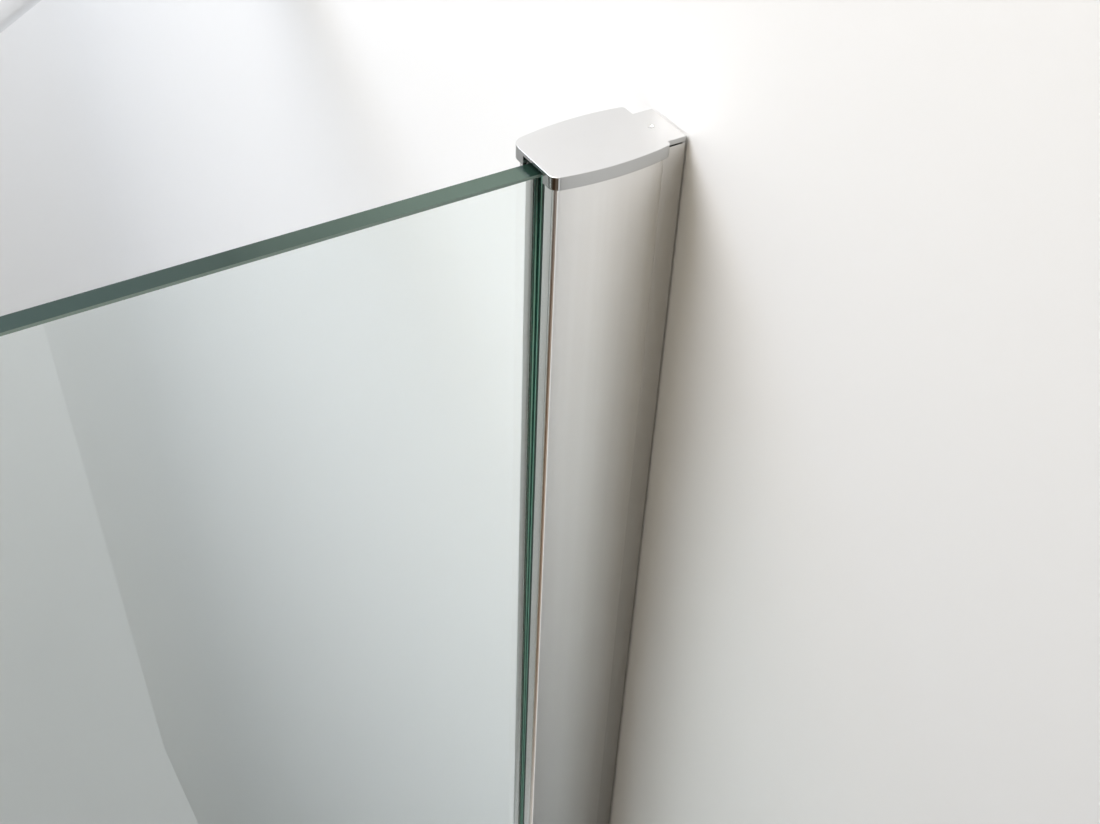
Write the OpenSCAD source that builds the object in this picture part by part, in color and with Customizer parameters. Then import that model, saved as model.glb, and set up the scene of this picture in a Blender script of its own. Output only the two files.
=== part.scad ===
// Corner shower enclosure: two fixed panes in telescopic wall profiles, two doors that
// open outwards from them and meet at the corner, with braces, seals and thresholds.
//
// The two room walls are the planes x = -half and y = -half, and the floor is z = 0.
// Every sub-part is drawn once, for side A, in that side's own frame: x runs along the
// glass from the wall, y points out of the enclosure from the middle of the glass, and
// z points up. Side B is the mirror image of side A about the diagonal of the corner.

/* [Enclosure] */
// Height from the floor to the top of the caps
overall_h = 1950; // [1800:10:2100]
// Distance from each wall to the middle of the glass that faces it
side_len = 882; // [780:1:1000]
// Distance from the wall to the free edge of each fixed pane
fixed_w = 300; // [240:5:400]
// Open gap between a fixed pane and its door
pane_gap = 6; // [5:0.5:8]
// Distance from the corner back to the free edge of each door pane
corner_back = 14; // [12:0.5:20]

/* [Glass] */
// Thickness of every pane
glass_t = 6; // [5:0.5:6.5]
// Drop from the top of the caps to the top edge of the glass
glass_drop = 2.7; // [2:0.1:6]
// Depth of the fixed pane inside its frame profile
glass_bite = 10.2; // [8:0.1:12]
// Height of the door glass above the floor
door_lift = 20; // [18:0.5:30]
// Height of the fixed glass above the floor
fixed_lift = 6; // [4:0.5:10]
// Radius of the holes drilled through the glass
glass_hole_r = 7; // [6:0.5:9]

/* [Frame profile] */
// Distance from the wall to the end face of the cap on the frame profile
cap_reach = 37.2; // [35:0.1:42]
// Distance from the wall to the rear edge of the frame profile's cap
cap_rear = 5.5; // [4:0.1:7]
// Radius of the bowed sides
bow_r = 76; // [60:1:120]
// Half width of the cap on the outside of the glass
bow_out = 11.1; // [10.8:0.1:14]
// Half width of the cap on the inside of the glass
bow_in = 11.3; // [10.8:0.1:14]
// Distance from the wall to the widest point of the outer side
bow_out_x = 21; // [18:0.5:24]
// Distance from the wall to the widest point of the inner side
bow_in_x = 18; // [16:0.5:24]
// Corner radius between the end face and the outer side
end_out_r = 2.4; // [1.5:0.1:3.5]
// Corner radius between the end face and the inner side
end_in_r = 3.8; // [1.5:0.1:4.5]
// Corner radius at the two rear shoulders
rear_r = 1; // [0.4:0.1:1.5]
// Wall thickness of the frame profile
frame_wall = 1.4; // [1.1:0.1:1.6]

/* [Wall channel] */
// Depth of the channel, from the wall to the ends of its legs
channel_depth = 19; // [14:0.5:20]
// Distance from the middle of the glass to the channel's outer face, outside
channel_out = 7.9; // [7.4:0.1:8]
// Distance from the middle of the glass to the channel's outer face, inside
channel_in = 6.15; // [5.5:0.05:6.5]
// Thickness of the channel's legs
channel_leg_t = 1.3; // [1:0.1:2]
// Thickness of the channel's web against the wall
channel_web_t = 1.5; // [1:0.1:3]
// Number of wall screw holes in each channel
wall_holes = 4; // [2:1:4]
// Radius of the wall screw holes
wall_hole_r = 2.6; // [2:0.1:3.2]
// Distance from the floor to the lowest wall screw hole, and from the top to the highest
wall_hole_end = 150; // [80:5:250]

/* [Top cap] */
// Thickness of the cap's plate
cap_t = 0.9; // [0.7:0.1:1.5]
// Height of the cap's skirt, from its top face
cap_skirt = 3.4; // [3:0.1:6]
// Thickness of the cap's skirt
cap_wall = 1; // [0.8:0.1:1.4]
// Thickness of the tail that covers the wall channel
tail_t = 1.4; // [1:0.1:2]
// How far the tail stands out past the channel, outside
tail_over = 0.2; // [0.1:0.1:0.6]
// Gap between the tail and the top of the wall channel
tail_gap = 0.5; // [0.3:0.1:2]
// Opening in the cap's end face beside the wedge gasket
slot_out = 0.8; // [0.3:0.1:1.2]
// Length of the pegs that hold the cap in the frame profile
peg_len = 8; // [5:0.5:15]

/* [Gaskets] */
// Thickness of the wedge gasket on the outside of the glass
wedge_t = 1.4; // [1.2:0.1:2]
// Thickness of the tape on the inside of the glass
tape_t = 0.4; // [0.3:0.1:1]
// How far the tape lies back from the mouth of the pocket
tape_back = 1; // [0:0.1:2]
// How far the wedge gasket stands out of the frame profile
wedge_out = 0.1; // [0:0.1:0.6]
// Gap between the edge of the glass and the bottom of its pocket
edge_gap = 1.2; // [0.8:0.1:2]

/* [Hinges] */
// Height of the lower hinge above the floor, and depth of the upper one below the top
hinge_end = 250; // [150:10:400]
// Height of each hinge
hinge_h = 80; // [70:2:110]
// Width of the plates that clamp the glass
leaf_w = 40; // [34:1:50]
// Thickness of the plates that clamp the glass
leaf_t = 5; // [5:0.5:7]
// Corner radius of the plates
leaf_corner_r = 4; // [2:0.5:8]
// Outer radius of the knuckles
knuckle_r = 8; // [7:0.5:10]
// Height of the door's knuckle in the middle of the hinge
door_knuckle_h = 28; // [20:1:36]
// Radius of the hinge pin
pin_r = 4; // [3:0.5:5]
// Thickness of the finials on the ends of the hinge pin
finial_t = 2; // [1:0.5:4]
// Thickness of the pads between the plates and the glass
pad_t = 1; // [0.8:0.1:1.5]
// Distance between the two screws of a plate
hinge_screw_pitch = 44; // [36:1:50]

/* [Handles] */
// Height of the middle of the handles above the floor
handle_z = 1050; // [900:10:1150]
// Distance from the door's free edge to the handles
handle_inset = 75; // [60:1:120]
// Length of the handle bars
handle_len = 300; // [240:5:400]
// Distance between the two posts of a handle
handle_pitch = 200; // [160:5:220]
// Radius of the handle bars
handle_r = 8; // [7:0.5:10]
// Radius of the handle posts
post_r = 6; // [5.5:0.1:6.5]
// Distance from the glass to the middle of the handle bars
handle_out = 34; // [30:1:45]
// Radius of the threaded rods through the door
rod_r = 4; // [3:0.5:4]
// Depth of the rods inside each post
rod_bite = 12; // [8:1:16]
// Thickness of the washers under the posts
washer_t = 1; // [0.5:0.1:2]
// Radius of the washers
washer_r = 9.5; // [9:0.5:12]

/* [Seals] */
// Wall thickness of the clear seals
seal_t = 1.2; // [0.8:0.1:1.4]
// Length of the seals' legs along the glass
seal_leg = 9; // [6:0.5:12]
// Open space between the two magnetic faces at the corner
magnet_gap = 0.3; // [0.2:0.1:1]
// Thickness of the magnetic strips
magnet_t = 2; // [1.5:0.1:2.5]
// Width of the magnetic strips
magnet_w = 6; // [5:0.1:7]
// Depth of the magnetic strips under the seal's slanted face
magnet_deep = 0.8; // [0.5:0.1:1]
// Shift of the magnetic strips along the slanted face, towards the inside
magnet_shift = 1.2; // [0.9:0.1:1.5]
// Height of the seal's legs beside the fixed glass
foot_leg = 8; // [5:0.5:12]

/* [Brace] */
// Distance from the fixed pane's free edge to the middle of the brace clamp
brace_inset = 22; // [18:1:40]
// Radius of the brace bar
bar_r = 6; // [5:0.5:7]
// Radius of the sockets that hold the bar
socket_r = 9.5; // [8.5:0.1:11]
// Length of the socket on the glass clamp, from the middle of the glass
clamp_socket = 34; // [30:1:45]
// Length of the socket on the wall flange, from the wall
wall_socket = 30; // [26:1:40]
// Depth of the bar inside each socket
bar_bite = 16; // [12:1:16]
// Width of the glass clamp
clamp_w = 30; // [26:1:36]
// Wall thickness of the glass clamp
clamp_wall = 5; // [4:0.5:7]
// Height of the glass clamp below the edge of the glass
clamp_h = 20; // [20:1:30]
// Radius of the wall flange
flange_r = 18; // [17.5:0.5:25]
// Thickness of the wall flange
flange_t = 5; // [3:0.5:8]
// Distance between the wall flange's two screw holes
flange_pitch = 27; // [26:0.5:29]
// Radius of the wall flange's screw holes
flange_hole_r = 2.2; // [1.8:0.1:2.4]

/* [Threshold] */
// Height of the threshold bars under the doors
threshold_h = 9; // [6:0.5:12]
// Width of the threshold bars on the floor
threshold_w = 24; // [16:1:30]
// Width of the threshold bars' flat top
threshold_top = 8; // [4:0.5:14]

/* [Fasteners] */
// Radius of the screws that lock the frame profile to the channel
lock_screw_r = 2; // [1.5:0.1:2.2]
// Number of locking screws in each frame profile
lock_screws_each = 3; // [2:1:4]
// Radius of the hinge screws
hinge_screw_r = 3; // [2:0.5:3.5]
// Radius of the hinge screws' heads
hinge_head_r = 5; // [4.5:0.1:6]
// Height of the hinge screws' heads
hinge_head_h = 3; // [2:0.1:3.5]
// Radius of the brace's grub screws
grub_r = 2.5; // [1.5:0.1:3]

/* [Fits] */
// Clearance between the cap's skirt and the frame profile
cap_fit = 0.05; // [0.05:0.01:0.2]
// Clearance between the frame profile and the wall channel
slide_fit = 0.15; // [0.1:0.05:0.3]
// Radial clearance of pins, rods, bars and screws in their holes
pin_fit = 0.05; // [0.03:0.01:0.1]
// Clearance between pieces that only lie close together
loose_fit = 0.3; // [0.2:0.05:0.5]

/* [Hidden] */
$fn = 96;
// Facets of the wide bowed arcs, and chords of their round corners
arc_fn = 720;
corner_chords = 6;
// A length that reaches past everything on one side
past = 2 * overall_h;
// Half thickness of the glass
glass_half = glass_t / 2;

// Widths of the whole enclosure and of its halves, which set the origin
handle_reach = glass_half + handle_out + handle_r;
half = (side_len + handle_reach) / 2;

// Heights along the glass and the frame profile
glass_top = overall_h - glass_drop;
frame_top = overall_h - cap_t;
channel_top = overall_h - tail_t - tail_gap;

// The frame profile lies inside the cap's skirt
frame_inset = cap_wall + cap_fit;
frame_rear = cap_rear + frame_inset;
frame_end = cap_reach - frame_inset;
glass_edge = frame_end - glass_bite;
pocket_x = glass_edge - edge_gap;
pocket_out = glass_half + wedge_t;
pocket_in = glass_half + tape_t;
rib_rear = pocket_x - frame_wall;
chamber_out = channel_out + slide_fit;
chamber_in = channel_in + slide_fit;
lock_x = (frame_rear + channel_depth) / 2;
lock_face = bow_in - frame_inset + pin_fit;
wall_pitch = (overall_h - 2 * wall_hole_end) / (wall_holes - 1);
lock_pitch = (overall_h - 2 * hinge_end) / (lock_screws_each - 1);

// Hinge axis, door edges and the places of the hinges
hinge_x = fixed_w + pane_gap / 2;
hinge_y = glass_half + pad_t + knuckle_r;
door_start = fixed_w + pane_gap;
door_end = side_len - corner_back;
hinge_zs = [hinge_end, overall_h - hinge_end];
leaf_start = knuckle_r + 1;
leaf_mid = leaf_start + leaf_w / 2;
plate_y = glass_half + pad_t;
screw_zs = [-hinge_screw_pitch / 2, hinge_screw_pitch / 2];
screw_bite = leaf_t - 1;

// Handles and seals
handle_x = door_end - handle_inset;
post_zs = [handle_z - handle_pitch / 2, handle_z + handle_pitch / 2];
post_foot = glass_half + washer_t;
seal_half = glass_half + seal_t;
door_seal_low = door_lift + seal_leg + loose_fit;

// The brace leaves the glass at 45 degrees and meets its wall as far from the glass
brace_x = fixed_w - brace_inset;
brace_run = brace_x * sqrt(2);
brace_z = glass_top - clamp_h / 2;
clamp_y = glass_half + pad_t + clamp_wall;

// Places a child on side A or side B
module side_a() { translate([-half, side_len - half, 0]) children(); }
module side_b() { mirror([1, -1, 0]) side_a() children(); }
module both_sides() {
    side_a() children();
    side_b() children();
}

// Extrudes a section drawn as (y, z) along x
module along_x(from, to) {
    translate([from, 0, 0]) rotate([90, 0, 90]) linear_extrude(to - from) children();
}

// A cylinder along +y, from the given y
module rod_y(from, to, r) {
    translate([0, from, 0]) rotate([-90, 0, 0]) cylinder(h = to - from, r = r);
}

// A round bar along the brace, measured from the middle of the glass
module along_brace(from, to, r) {
    translate([brace_x, 0, brace_z]) rotate([0, 0, -135]) rotate([0, 90, 0])
        translate([0, 0, from]) cylinder(h = to - from, r = r);
}

// A rectangle with round corners, centred on z and starting at x = 0
module round_plate(w, h, t, r) {
    rotate([-90, 0, 0]) linear_extrude(t) {
        translate([0, -h / 2 + r]) square([w, h - 2 * r]);
        translate([r, -h / 2]) square([w - 2 * r, h]);
        for (x = [r, w - r], z = [-h / 2 + r, h / 2 - r]) translate([x, z]) circle(r);
    }
}

// Cuts off one corner of the bowed outline along short chords of the circle that touches
// the end line and the bowed side. dir is 1 at the end face, and side is 1 outside.
module corner_cut(inset, dir, side, r) {
    corner = max(r - inset, 0.3);
    mid = side > 0 ? [bow_out_x, bow_out - bow_r] : [bow_in_x, bow_r - bow_in];
    reach = bow_r - inset - corner;
    cx = dir > 0 ? cap_reach - inset - corner : cap_rear + inset + corner;
    cy = mid.y + side * sqrt(pow(reach, 2) - pow(cx - mid.x, 2));
    turn = atan2(side * (cy - mid.y), dir * (cx - mid.x));
    function on_circle(k, scale = 1) =
        [cx, cy] + scale * corner * [dir * cos(turn * k), side * sin(turn * k)];
    chords = [for (i = [0:corner_chords]) on_circle(i / corner_chords)];
    first = 2 * chords[0] - chords[1];
    last = 2 * chords[corner_chords] - chords[corner_chords - 1];
    polygon(concat([first], chords, [last, on_circle(1, 4), on_circle(0.5, 6), on_circle(0, 4)]));
}

// The bowed outline of the cap, or with an inset that of what lies inside its skirt
module bowed_outline(inset) {
    difference() {
        intersection() {
            translate([cap_rear + inset, -2 * bow_in])
                square([cap_reach - cap_rear - 2 * inset, 2 * (bow_in + bow_out)]);
            translate([bow_out_x, bow_out - bow_r]) circle(bow_r - inset, $fn = arc_fn);
            translate([bow_in_x, bow_r - bow_in]) circle(bow_r - inset, $fn = arc_fn);
        }
        corner_cut(inset, 1, 1, end_out_r);
        corner_cut(inset, 1, -1, end_in_r);
        corner_cut(inset, -1, 1, rear_r);
        corner_cut(inset, -1, -1, rear_r);
    }
}

// The wall channel, a U that is screwed to the wall through its web
module wall_channel() {
    color("silver") difference() {
        translate([0, -channel_in, 0]) cube([channel_depth, channel_in + channel_out, channel_top]);
        translate([channel_web_t, channel_leg_t - channel_in, -1])
            cube([channel_depth, channel_in + channel_out - 2 * channel_leg_t, overall_h]);
        for (i = [0:wall_holes - 1])
            translate([-1, 0, wall_hole_end + i * wall_pitch]) rotate([0, 90, 0])
                cylinder(h = channel_web_t + 2, r = wall_hole_r);
        at_locks() rod_y(-channel_in - 1, 0, lock_screw_r + pin_fit);
    }
}

// Repeats a child at each locking screw
module at_locks() {
    for (i = [0:lock_screws_each - 1]) translate([lock_x, 0, hinge_end + i * lock_pitch]) children();
}

// The frame profile's section: a chamber for the channel, a pocket for the glass and
// three hollows behind the bowed sides
module frame_section() {
    difference() {
        bowed_outline(frame_inset);
        translate([0, -chamber_in]) square([rib_rear, chamber_in + chamber_out]);
        translate([pocket_x, -pocket_in]) square([past, pocket_in + pocket_out]);
        intersection() {
            bowed_outline(frame_inset + frame_wall);
            union() {
                translate([0, -past - chamber_in - frame_wall]) square([rib_rear, past]);
                translate([pocket_x, -past - pocket_in - frame_wall]) square([past, past]);
                translate([pocket_x, pocket_out + frame_wall]) square([past, past]);
            }
        }
    }
}

// The frame profile, which slides over the channel and holds the glass
module frame_profile() {
    color("gainsboro") difference() {
        linear_extrude(frame_top) frame_section();
        at_locks() rod_y(-lock_face - 1, 0, lock_screw_r + 2 * pin_fit);
    }
}

// The bright cap on top of the frame profile, with its tail over the channel
module top_cap() {
    color("whitesmoke") {
        difference() {
            union() {
                translate([0, 0, overall_h - cap_skirt]) linear_extrude(cap_skirt) bowed_outline(0);
                translate([0, -chamber_in, overall_h - tail_t])
                    cube([cap_rear + cap_wall, chamber_in + channel_out + tail_over, tail_t]);
            }
            translate([0, 0, frame_top - cap_skirt]) linear_extrude(cap_skirt) bowed_outline(cap_wall);
            translate([frame_rear, -pocket_in, frame_top - cap_skirt])
                cube([cap_reach, pocket_in + pocket_out + slot_out, cap_skirt]);
            translate([-1, -chamber_in, overall_h - tail_t - cap_skirt])
                cube([frame_rear + 1, chamber_in + chamber_out, cap_skirt]);
        }
        cap_pegs();
    }
}

// Two pegs under the cap, one in each hollow beside the glass
module cap_pegs() {
    peg_x = pocket_x + 2;
    peg_w = frame_end - frame_wall - pocket_x - 4;
    peg_out = pocket_out + frame_wall + loose_fit / 2;
    peg_in = pocket_in + frame_wall + loose_fit;
    translate([peg_x, peg_out, frame_top - peg_len]) cube([peg_w / 2, 0.8, peg_len]);
    translate([peg_x, -peg_in - 2, frame_top - peg_len]) cube([peg_w, 2, peg_len]);
}

// The wedge gasket outside the glass, thinner towards the bottom of the pocket
module glazing_wedge() {
    color("darkslategray") translate([0, 0, fixed_lift]) linear_extrude(glass_top - fixed_lift)
        polygon([
            [glass_edge + 1, glass_half], [frame_end + wedge_out, glass_half],
            [frame_end + wedge_out, pocket_out - 0.3], [frame_end + wedge_out - 0.3, pocket_out],
            [frame_end - glass_bite / 2, pocket_out], [glass_edge + 1, pocket_out - 0.5]
        ]);
}

// The tape inside the glass
module glazing_tape() {
    color("dimgray") translate([glass_edge + 1, -pocket_in, fixed_lift])
        cube([frame_end - tape_back - glass_edge - 1, tape_t, glass_top - fixed_lift]);
}

// The blocks that the fixed panes stand on inside the pockets
module setting_block() {
    color("dimgray") translate([glass_edge, -glass_half, 0])
        cube([frame_end - glass_edge - loose_fit, glass_t, fixed_lift]);
}

// The fixed pane, drilled for the two hinges
module fixed_pane() {
    color("lightcyan", 0.4) difference() {
        translate([glass_edge, -glass_half, fixed_lift])
            cube([fixed_w - glass_edge, glass_t, glass_top - fixed_lift]);
        at_hinges() hinge_glass_holes(-1);
    }
}

// The clear seal under the fixed pane
module foot_seal() {
    color("lightblue", 0.6) along_x(frame_end + wedge_out + loose_fit, fixed_w) difference() {
        translate([-seal_half, 0]) square([2 * seal_half, fixed_lift + foot_leg]);
        translate([-glass_half, fixed_lift]) square([glass_t, foot_leg + 1]);
    }
}

// Repeats a child at both hinges, with the origin on the hinge axis in the glass
module at_hinges() {
    for (z = hinge_zs) translate([hinge_x, 0, z]) children();
}

// The holes for a plate's two screws. dir is 1 on the door and -1 on the fixed pane.
module hinge_glass_holes(dir) {
    for (z = screw_zs) translate([dir * leaf_mid, 0, z]) rod_y(-glass_t, glass_t, glass_hole_r);
}

// A plate from y to y + t, on the door (dir = 1) or on the fixed pane (dir = -1)
module clamp_plate(dir, y, t) {
    translate([dir > 0 ? leaf_start : -leaf_start - leaf_w, y, 0])
        round_plate(leaf_w, hinge_h, t, leaf_corner_r);
}

// An outer hinge plate with its knuckles, each given as [low, high]
module outer_leaf(dir, knuckles) {
    difference() {
        union() {
            clamp_plate(dir, plate_y, leaf_t);
            for (k = knuckles) translate([0, 0, k[0]]) {
                translate([0, hinge_y, 0]) cylinder(h = k[1] - k[0], r = knuckle_r);
                translate([dir > 0 ? 0 : -leaf_start - 1, plate_y, 0])
                    cube([leaf_start + 1, leaf_t, k[1] - k[0]]);
            }
        }
        translate([0, hinge_y, -hinge_h]) cylinder(h = 2 * hinge_h, r = pin_r + pin_fit);
        for (z = screw_zs) translate([dir * leaf_mid, 0, z])
            rod_y(0, plate_y + screw_bite, hinge_screw_r + pin_fit);
    }
}

// An inner hinge plate with recesses for the two screw heads
module inner_plate(dir) {
    difference() {
        clamp_plate(dir, -plate_y - leaf_t, leaf_t);
        for (z = screw_zs) translate([dir * leaf_mid, 0, z]) {
            rod_y(-plate_y - leaf_t - 1, 0, hinge_screw_r + 2 * pin_fit);
            rod_y(-plate_y - leaf_t - 1, -plate_y - leaf_t + hinge_head_h, hinge_head_r + 2 * pin_fit);
        }
    }
}

// The pads under both plates of a pane
module hinge_pads(dir) {
    color("black") at_hinges() difference() {
        for (y = [glass_half, -plate_y]) clamp_plate(dir, y, pad_t);
        hinge_glass_holes(dir);
    }
}

// The two screws of each hinge plate, with hexagon sockets
module hinge_screws(dir) {
    head_y = -plate_y - leaf_t;
    color("gray") at_hinges() for (z = screw_zs) translate([dir * leaf_mid, 0, z]) difference() {
        union() {
            rod_y(head_y, plate_y + screw_bite - loose_fit, hinge_screw_r);
            rod_y(head_y, head_y + hinge_head_h, hinge_head_r);
        }
        rotate([-90, 0, 0]) translate([0, 0, head_y - 1])
            cylinder(h = hinge_head_h, r = hinge_screw_r * 0.7, $fn = 6);
    }
}

module hinge_fixed_leaf() {
    low = door_knuckle_h / 2 + loose_fit;
    color("gainsboro") at_hinges() outer_leaf(-1, [[-hinge_h / 2, -low], [low, hinge_h / 2]]);
}

module hinge_fixed_backplate() { color("gainsboro") at_hinges() inner_plate(-1); }

module hinge_door_leaf() {
    color("gainsboro") at_hinges() outer_leaf(1, [[-door_knuckle_h / 2, door_knuckle_h / 2]]);
}

module hinge_door_backplate() { color("gainsboro") at_hinges() inner_plate(1); }

// The hinge pins, each with a finial at both ends
module hinge_pin() {
    color("silver") at_hinges() translate([0, hinge_y, 0]) {
        cylinder(h = hinge_h, r = pin_r, center = true);
        for (end = [0, 1]) mirror([0, 0, end]) translate([0, 0, hinge_h / 2])
            cylinder(h = finial_t, r1 = knuckle_r, r2 = knuckle_r - finial_t / 2);
    }
}

// The door pane, drilled for the hinges and the handles
module door_pane() {
    color("lightcyan", 0.4) difference() {
        translate([door_start, -glass_half, door_lift])
            cube([door_end - door_start, glass_t, glass_top - door_lift]);
        at_hinges() hinge_glass_holes(1);
        at_posts() rod_y(-glass_t, glass_t, glass_hole_r);
    }
}

// Repeats a child at both handle posts
module at_posts() {
    for (z = post_zs) translate([handle_x, 0, z]) children();
}

// A bar handle on the outside of the glass, bored for the two rods
module handle() {
    bar_y = glass_half + handle_out;
    bevel = handle_r / 8;
    color("gainsboro") difference() {
        union() {
            translate([handle_x, bar_y, handle_z - handle_len / 2 + bevel])
                cylinder(h = handle_len - 2 * bevel, r = handle_r);
            for (end = [0, 1]) translate([handle_x, bar_y, handle_z]) mirror([0, 0, end])
                translate([0, 0, handle_len / 2 - bevel])
                    cylinder(h = bevel, r1 = handle_r, r2 = handle_r - bevel);
            at_posts() rod_y(post_foot, bar_y, post_r);
        }
        at_posts() rod_y(0, post_foot + rod_bite, rod_r + pin_fit);
    }
}

// The rods that tie the two handles together through the glass
module handle_rods() {
    tip = post_foot + rod_bite - loose_fit;
    color("gray") at_posts() rod_y(-tip, tip, rod_r);
}

// The washers between the handle posts and the glass
module handle_washers() {
    color("white") at_posts() for (y = [glass_half, -post_foot]) difference() {
        rod_y(y, y + washer_t, washer_r);
        rod_y(y - 1, y + washer_t + 1, rod_r + pin_fit);
    }
}

// The side of the corner's diagonal that belongs to the other door, in plan
module past_mitre(gap) {
    translate([side_len, 0]) rotate(45) translate([-past, gap / 2 - 2 * past]) square(2 * past);
}

// The clear seal on the door's free edge, cut at 45 degrees to meet the other door's
module magnet_seal() {
    color("lightblue", 0.6) translate([0, 0, door_seal_low]) linear_extrude(glass_top - door_seal_low)
        difference() {
            translate([door_end - seal_leg, -seal_half]) square([side_len, 2 * seal_half]);
            translate([door_end - seal_leg - 1, -glass_half]) square([seal_leg + 1, glass_t]);
            past_mitre(magnet_gap);
            magnet_outline(pin_fit);
        }
}

// The magnetic strip's outline, grown by a clearance
module magnet_outline(fit) {
    translate([side_len, 0]) rotate(45)
        translate([-magnet_w / 2 - magnet_shift - fit, magnet_gap / 2 + magnet_deep - fit])
            square([magnet_w + 2 * fit, magnet_t + 2 * fit]);
}

module magnet_strip() {
    color("saddlebrown") translate([0, 0, door_seal_low])
        linear_extrude(glass_top - door_seal_low) magnet_outline(0);
}

// The clear seal on the door's hinged edge, in three lengths between the hinges
module hinge_seal() {
    near = hinge_h / 2 + loose_fit;
    cuts = [
        [door_seal_low, hinge_zs[0] - near], [hinge_zs[0] + near, hinge_zs[1] - near],
        [hinge_zs[1] + near, glass_top]
    ];
    bulb_r = (pane_gap - seal_t - loose_fit) / 2;
    color("lightblue", 0.6) for (c = cuts) translate([0, 0, c[0]]) linear_extrude(c[1] - c[0]) {
        difference() {
            translate([door_start - seal_t, -seal_half]) square([seal_t + seal_leg, 2 * seal_half]);
            translate([door_start, -glass_half]) square([seal_leg + 1, glass_t]);
        }
        translate([door_start - seal_t - bulb_r + 0.1, 0]) circle(bulb_r);
    }
}

// The clear seal under the door, with a blade down to just above the threshold
module drip_seal() {
    blade = seal_t / 2;
    color("lightblue", 0.6) along_x(door_start, door_end) {
        difference() {
            translate([-seal_half, door_lift - seal_t]) square([2 * seal_half, seal_leg + seal_t]);
            translate([-glass_half, door_lift]) square([glass_t, seal_leg + 1]);
        }
        for (y = [-glass_half, glass_half]) translate([y - blade, threshold_h + loose_fit])
            square([seal_t, door_lift - seal_t - threshold_h]);
    }
}

// The bar of the brace, between its two sockets
module brace_bar() {
    bite = bar_bite - loose_fit;
    color("gainsboro") along_brace(clamp_socket - bite, brace_run - wall_socket + bite, bar_r);
}

// The clamp that holds the brace on the top edge of the fixed pane
module brace_clamp() {
    slot = glass_half + pad_t;
    color("gainsboro") difference() {
        union() {
            translate([brace_x - clamp_w / 2, -clamp_y, glass_top - clamp_h])
                cube([clamp_w, 2 * clamp_y, clamp_h + pad_t + clamp_wall]);
            along_brace(0, clamp_socket, socket_r);
        }
        translate([brace_x - past, -slot, glass_top - past]) cube([2 * past, 2 * slot, past + pad_t]);
        translate([brace_x - past, slot + clamp_wall, 0]) cube([2 * past, past, past]);
        along_brace(clamp_socket - bar_bite, clamp_socket + 1, bar_r + pin_fit);
        clamp_grub(-clamp_y - 1, grub_r + pin_fit);
        at_bar_grub(clamp_socket - bar_bite / 2) cylinder(h = past, r = grub_r + pin_fit);
    }
}

// The clamp's own screw, from the given y to the pad on the glass
module clamp_grub(from, r) {
    translate([brace_x + clamp_w / 4, 0, brace_z]) rod_y(from, -plate_y, r);
}

// A place on the bar's upper side, at a distance along the brace
module at_bar_grub(along) {
    translate([brace_x, 0, brace_z]) rotate([0, 0, -135]) translate([along, 0, 0]) children();
}

// The rubber lining between the clamp and the glass
module brace_pad() {
    color("black") difference() {
        translate([brace_x - clamp_w / 2, -plate_y, glass_top - clamp_h])
            cube([clamp_w, 2 * plate_y, clamp_h + pad_t]);
        translate([brace_x - clamp_w, -glass_half, glass_top - clamp_h - 1])
            cube([2 * clamp_w, glass_t, clamp_h + 1]);
    }
}

// The round flange on the wall, with the brace's socket on it
module brace_flange() {
    color("gainsboro") difference() {
        union() {
            translate([0, -brace_x, brace_z]) rotate([0, 90, 0]) cylinder(h = flange_t, r = flange_r);
            along_brace(brace_run - wall_socket, brace_run + socket_r, socket_r);
        }
        translate([-past, -past, 0]) cube([past, 2 * past, past]);
        along_brace(brace_run - wall_socket - 1, brace_run - wall_socket + bar_bite, bar_r + pin_fit);
        for (side = [-1, 1]) translate([-1, -brace_x, brace_z + side * flange_pitch / 2])
            rotate([0, 90, 0]) cylinder(h = flange_t + 2, r = flange_hole_r);
        at_bar_grub(brace_run - wall_socket + bar_bite / 2) cylinder(h = past, r = grub_r + pin_fit);
    }
}

// The grub screws of one brace: one on the glass and one in each socket
module brace_grubs() {
    grub_h = socket_r - bar_r - 2 * pin_fit;
    color("gray") {
        clamp_grub(-clamp_y, grub_r);
        for (along = [clamp_socket - bar_bite / 2, brace_run - wall_socket + bar_bite / 2])
            at_bar_grub(along) translate([0, 0, bar_r + pin_fit]) cylinder(h = grub_h, r = grub_r);
    }
}

// The locking screws between the frame profile and the channel, with flat round heads
module lock_screw() {
    color("gray") at_locks() {
        rod_y(-lock_face, -channel_in + 2 * channel_leg_t, lock_screw_r);
        rod_y(-lock_face - lock_screw_r, -lock_face, 2 * lock_screw_r);
    }
}

// The threshold bar under the door, cut at 45 degrees at the corner
module threshold_bar() {
    color("silver") difference() {
        along_x(fixed_w + loose_fit, side_len + threshold_w)
            polygon([
                [-threshold_w / 2, 0], [threshold_w / 2, 0], [threshold_w / 2, 1],
                [threshold_top / 2, threshold_h], [-threshold_top / 2, threshold_h],
                [-threshold_w / 2, 1]
            ]);
        translate([0, 0, -1]) linear_extrude(threshold_h + 2) past_mitre(0);
    }
}

side_a() wall_channel();  // wall_channel_a
side_b() wall_channel();  // wall_channel_b
side_a() frame_profile();  // frame_profile_a
side_b() frame_profile();  // frame_profile_b
side_a() top_cap();  // top_cap_a
side_b() top_cap();  // top_cap_b
side_a() glazing_wedge();  // glazing_wedge_a
side_b() glazing_wedge();  // glazing_wedge_b
side_a() glazing_tape();  // glazing_tape_a
side_b() glazing_tape();  // glazing_tape_b
both_sides() setting_block();  // setting_blocks
side_a() fixed_pane();  // fixed_pane_a
side_b() fixed_pane();  // fixed_pane_b
side_a() foot_seal();  // foot_seal_a
side_b() foot_seal();  // foot_seal_b
both_sides() lock_screw();  // lock_screws
side_a() hinge_fixed_leaf();  // hinge_fixed_leaf_a
side_b() hinge_fixed_leaf();  // hinge_fixed_leaf_b
side_a() hinge_fixed_backplate();  // hinge_fixed_backplate_a
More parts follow.
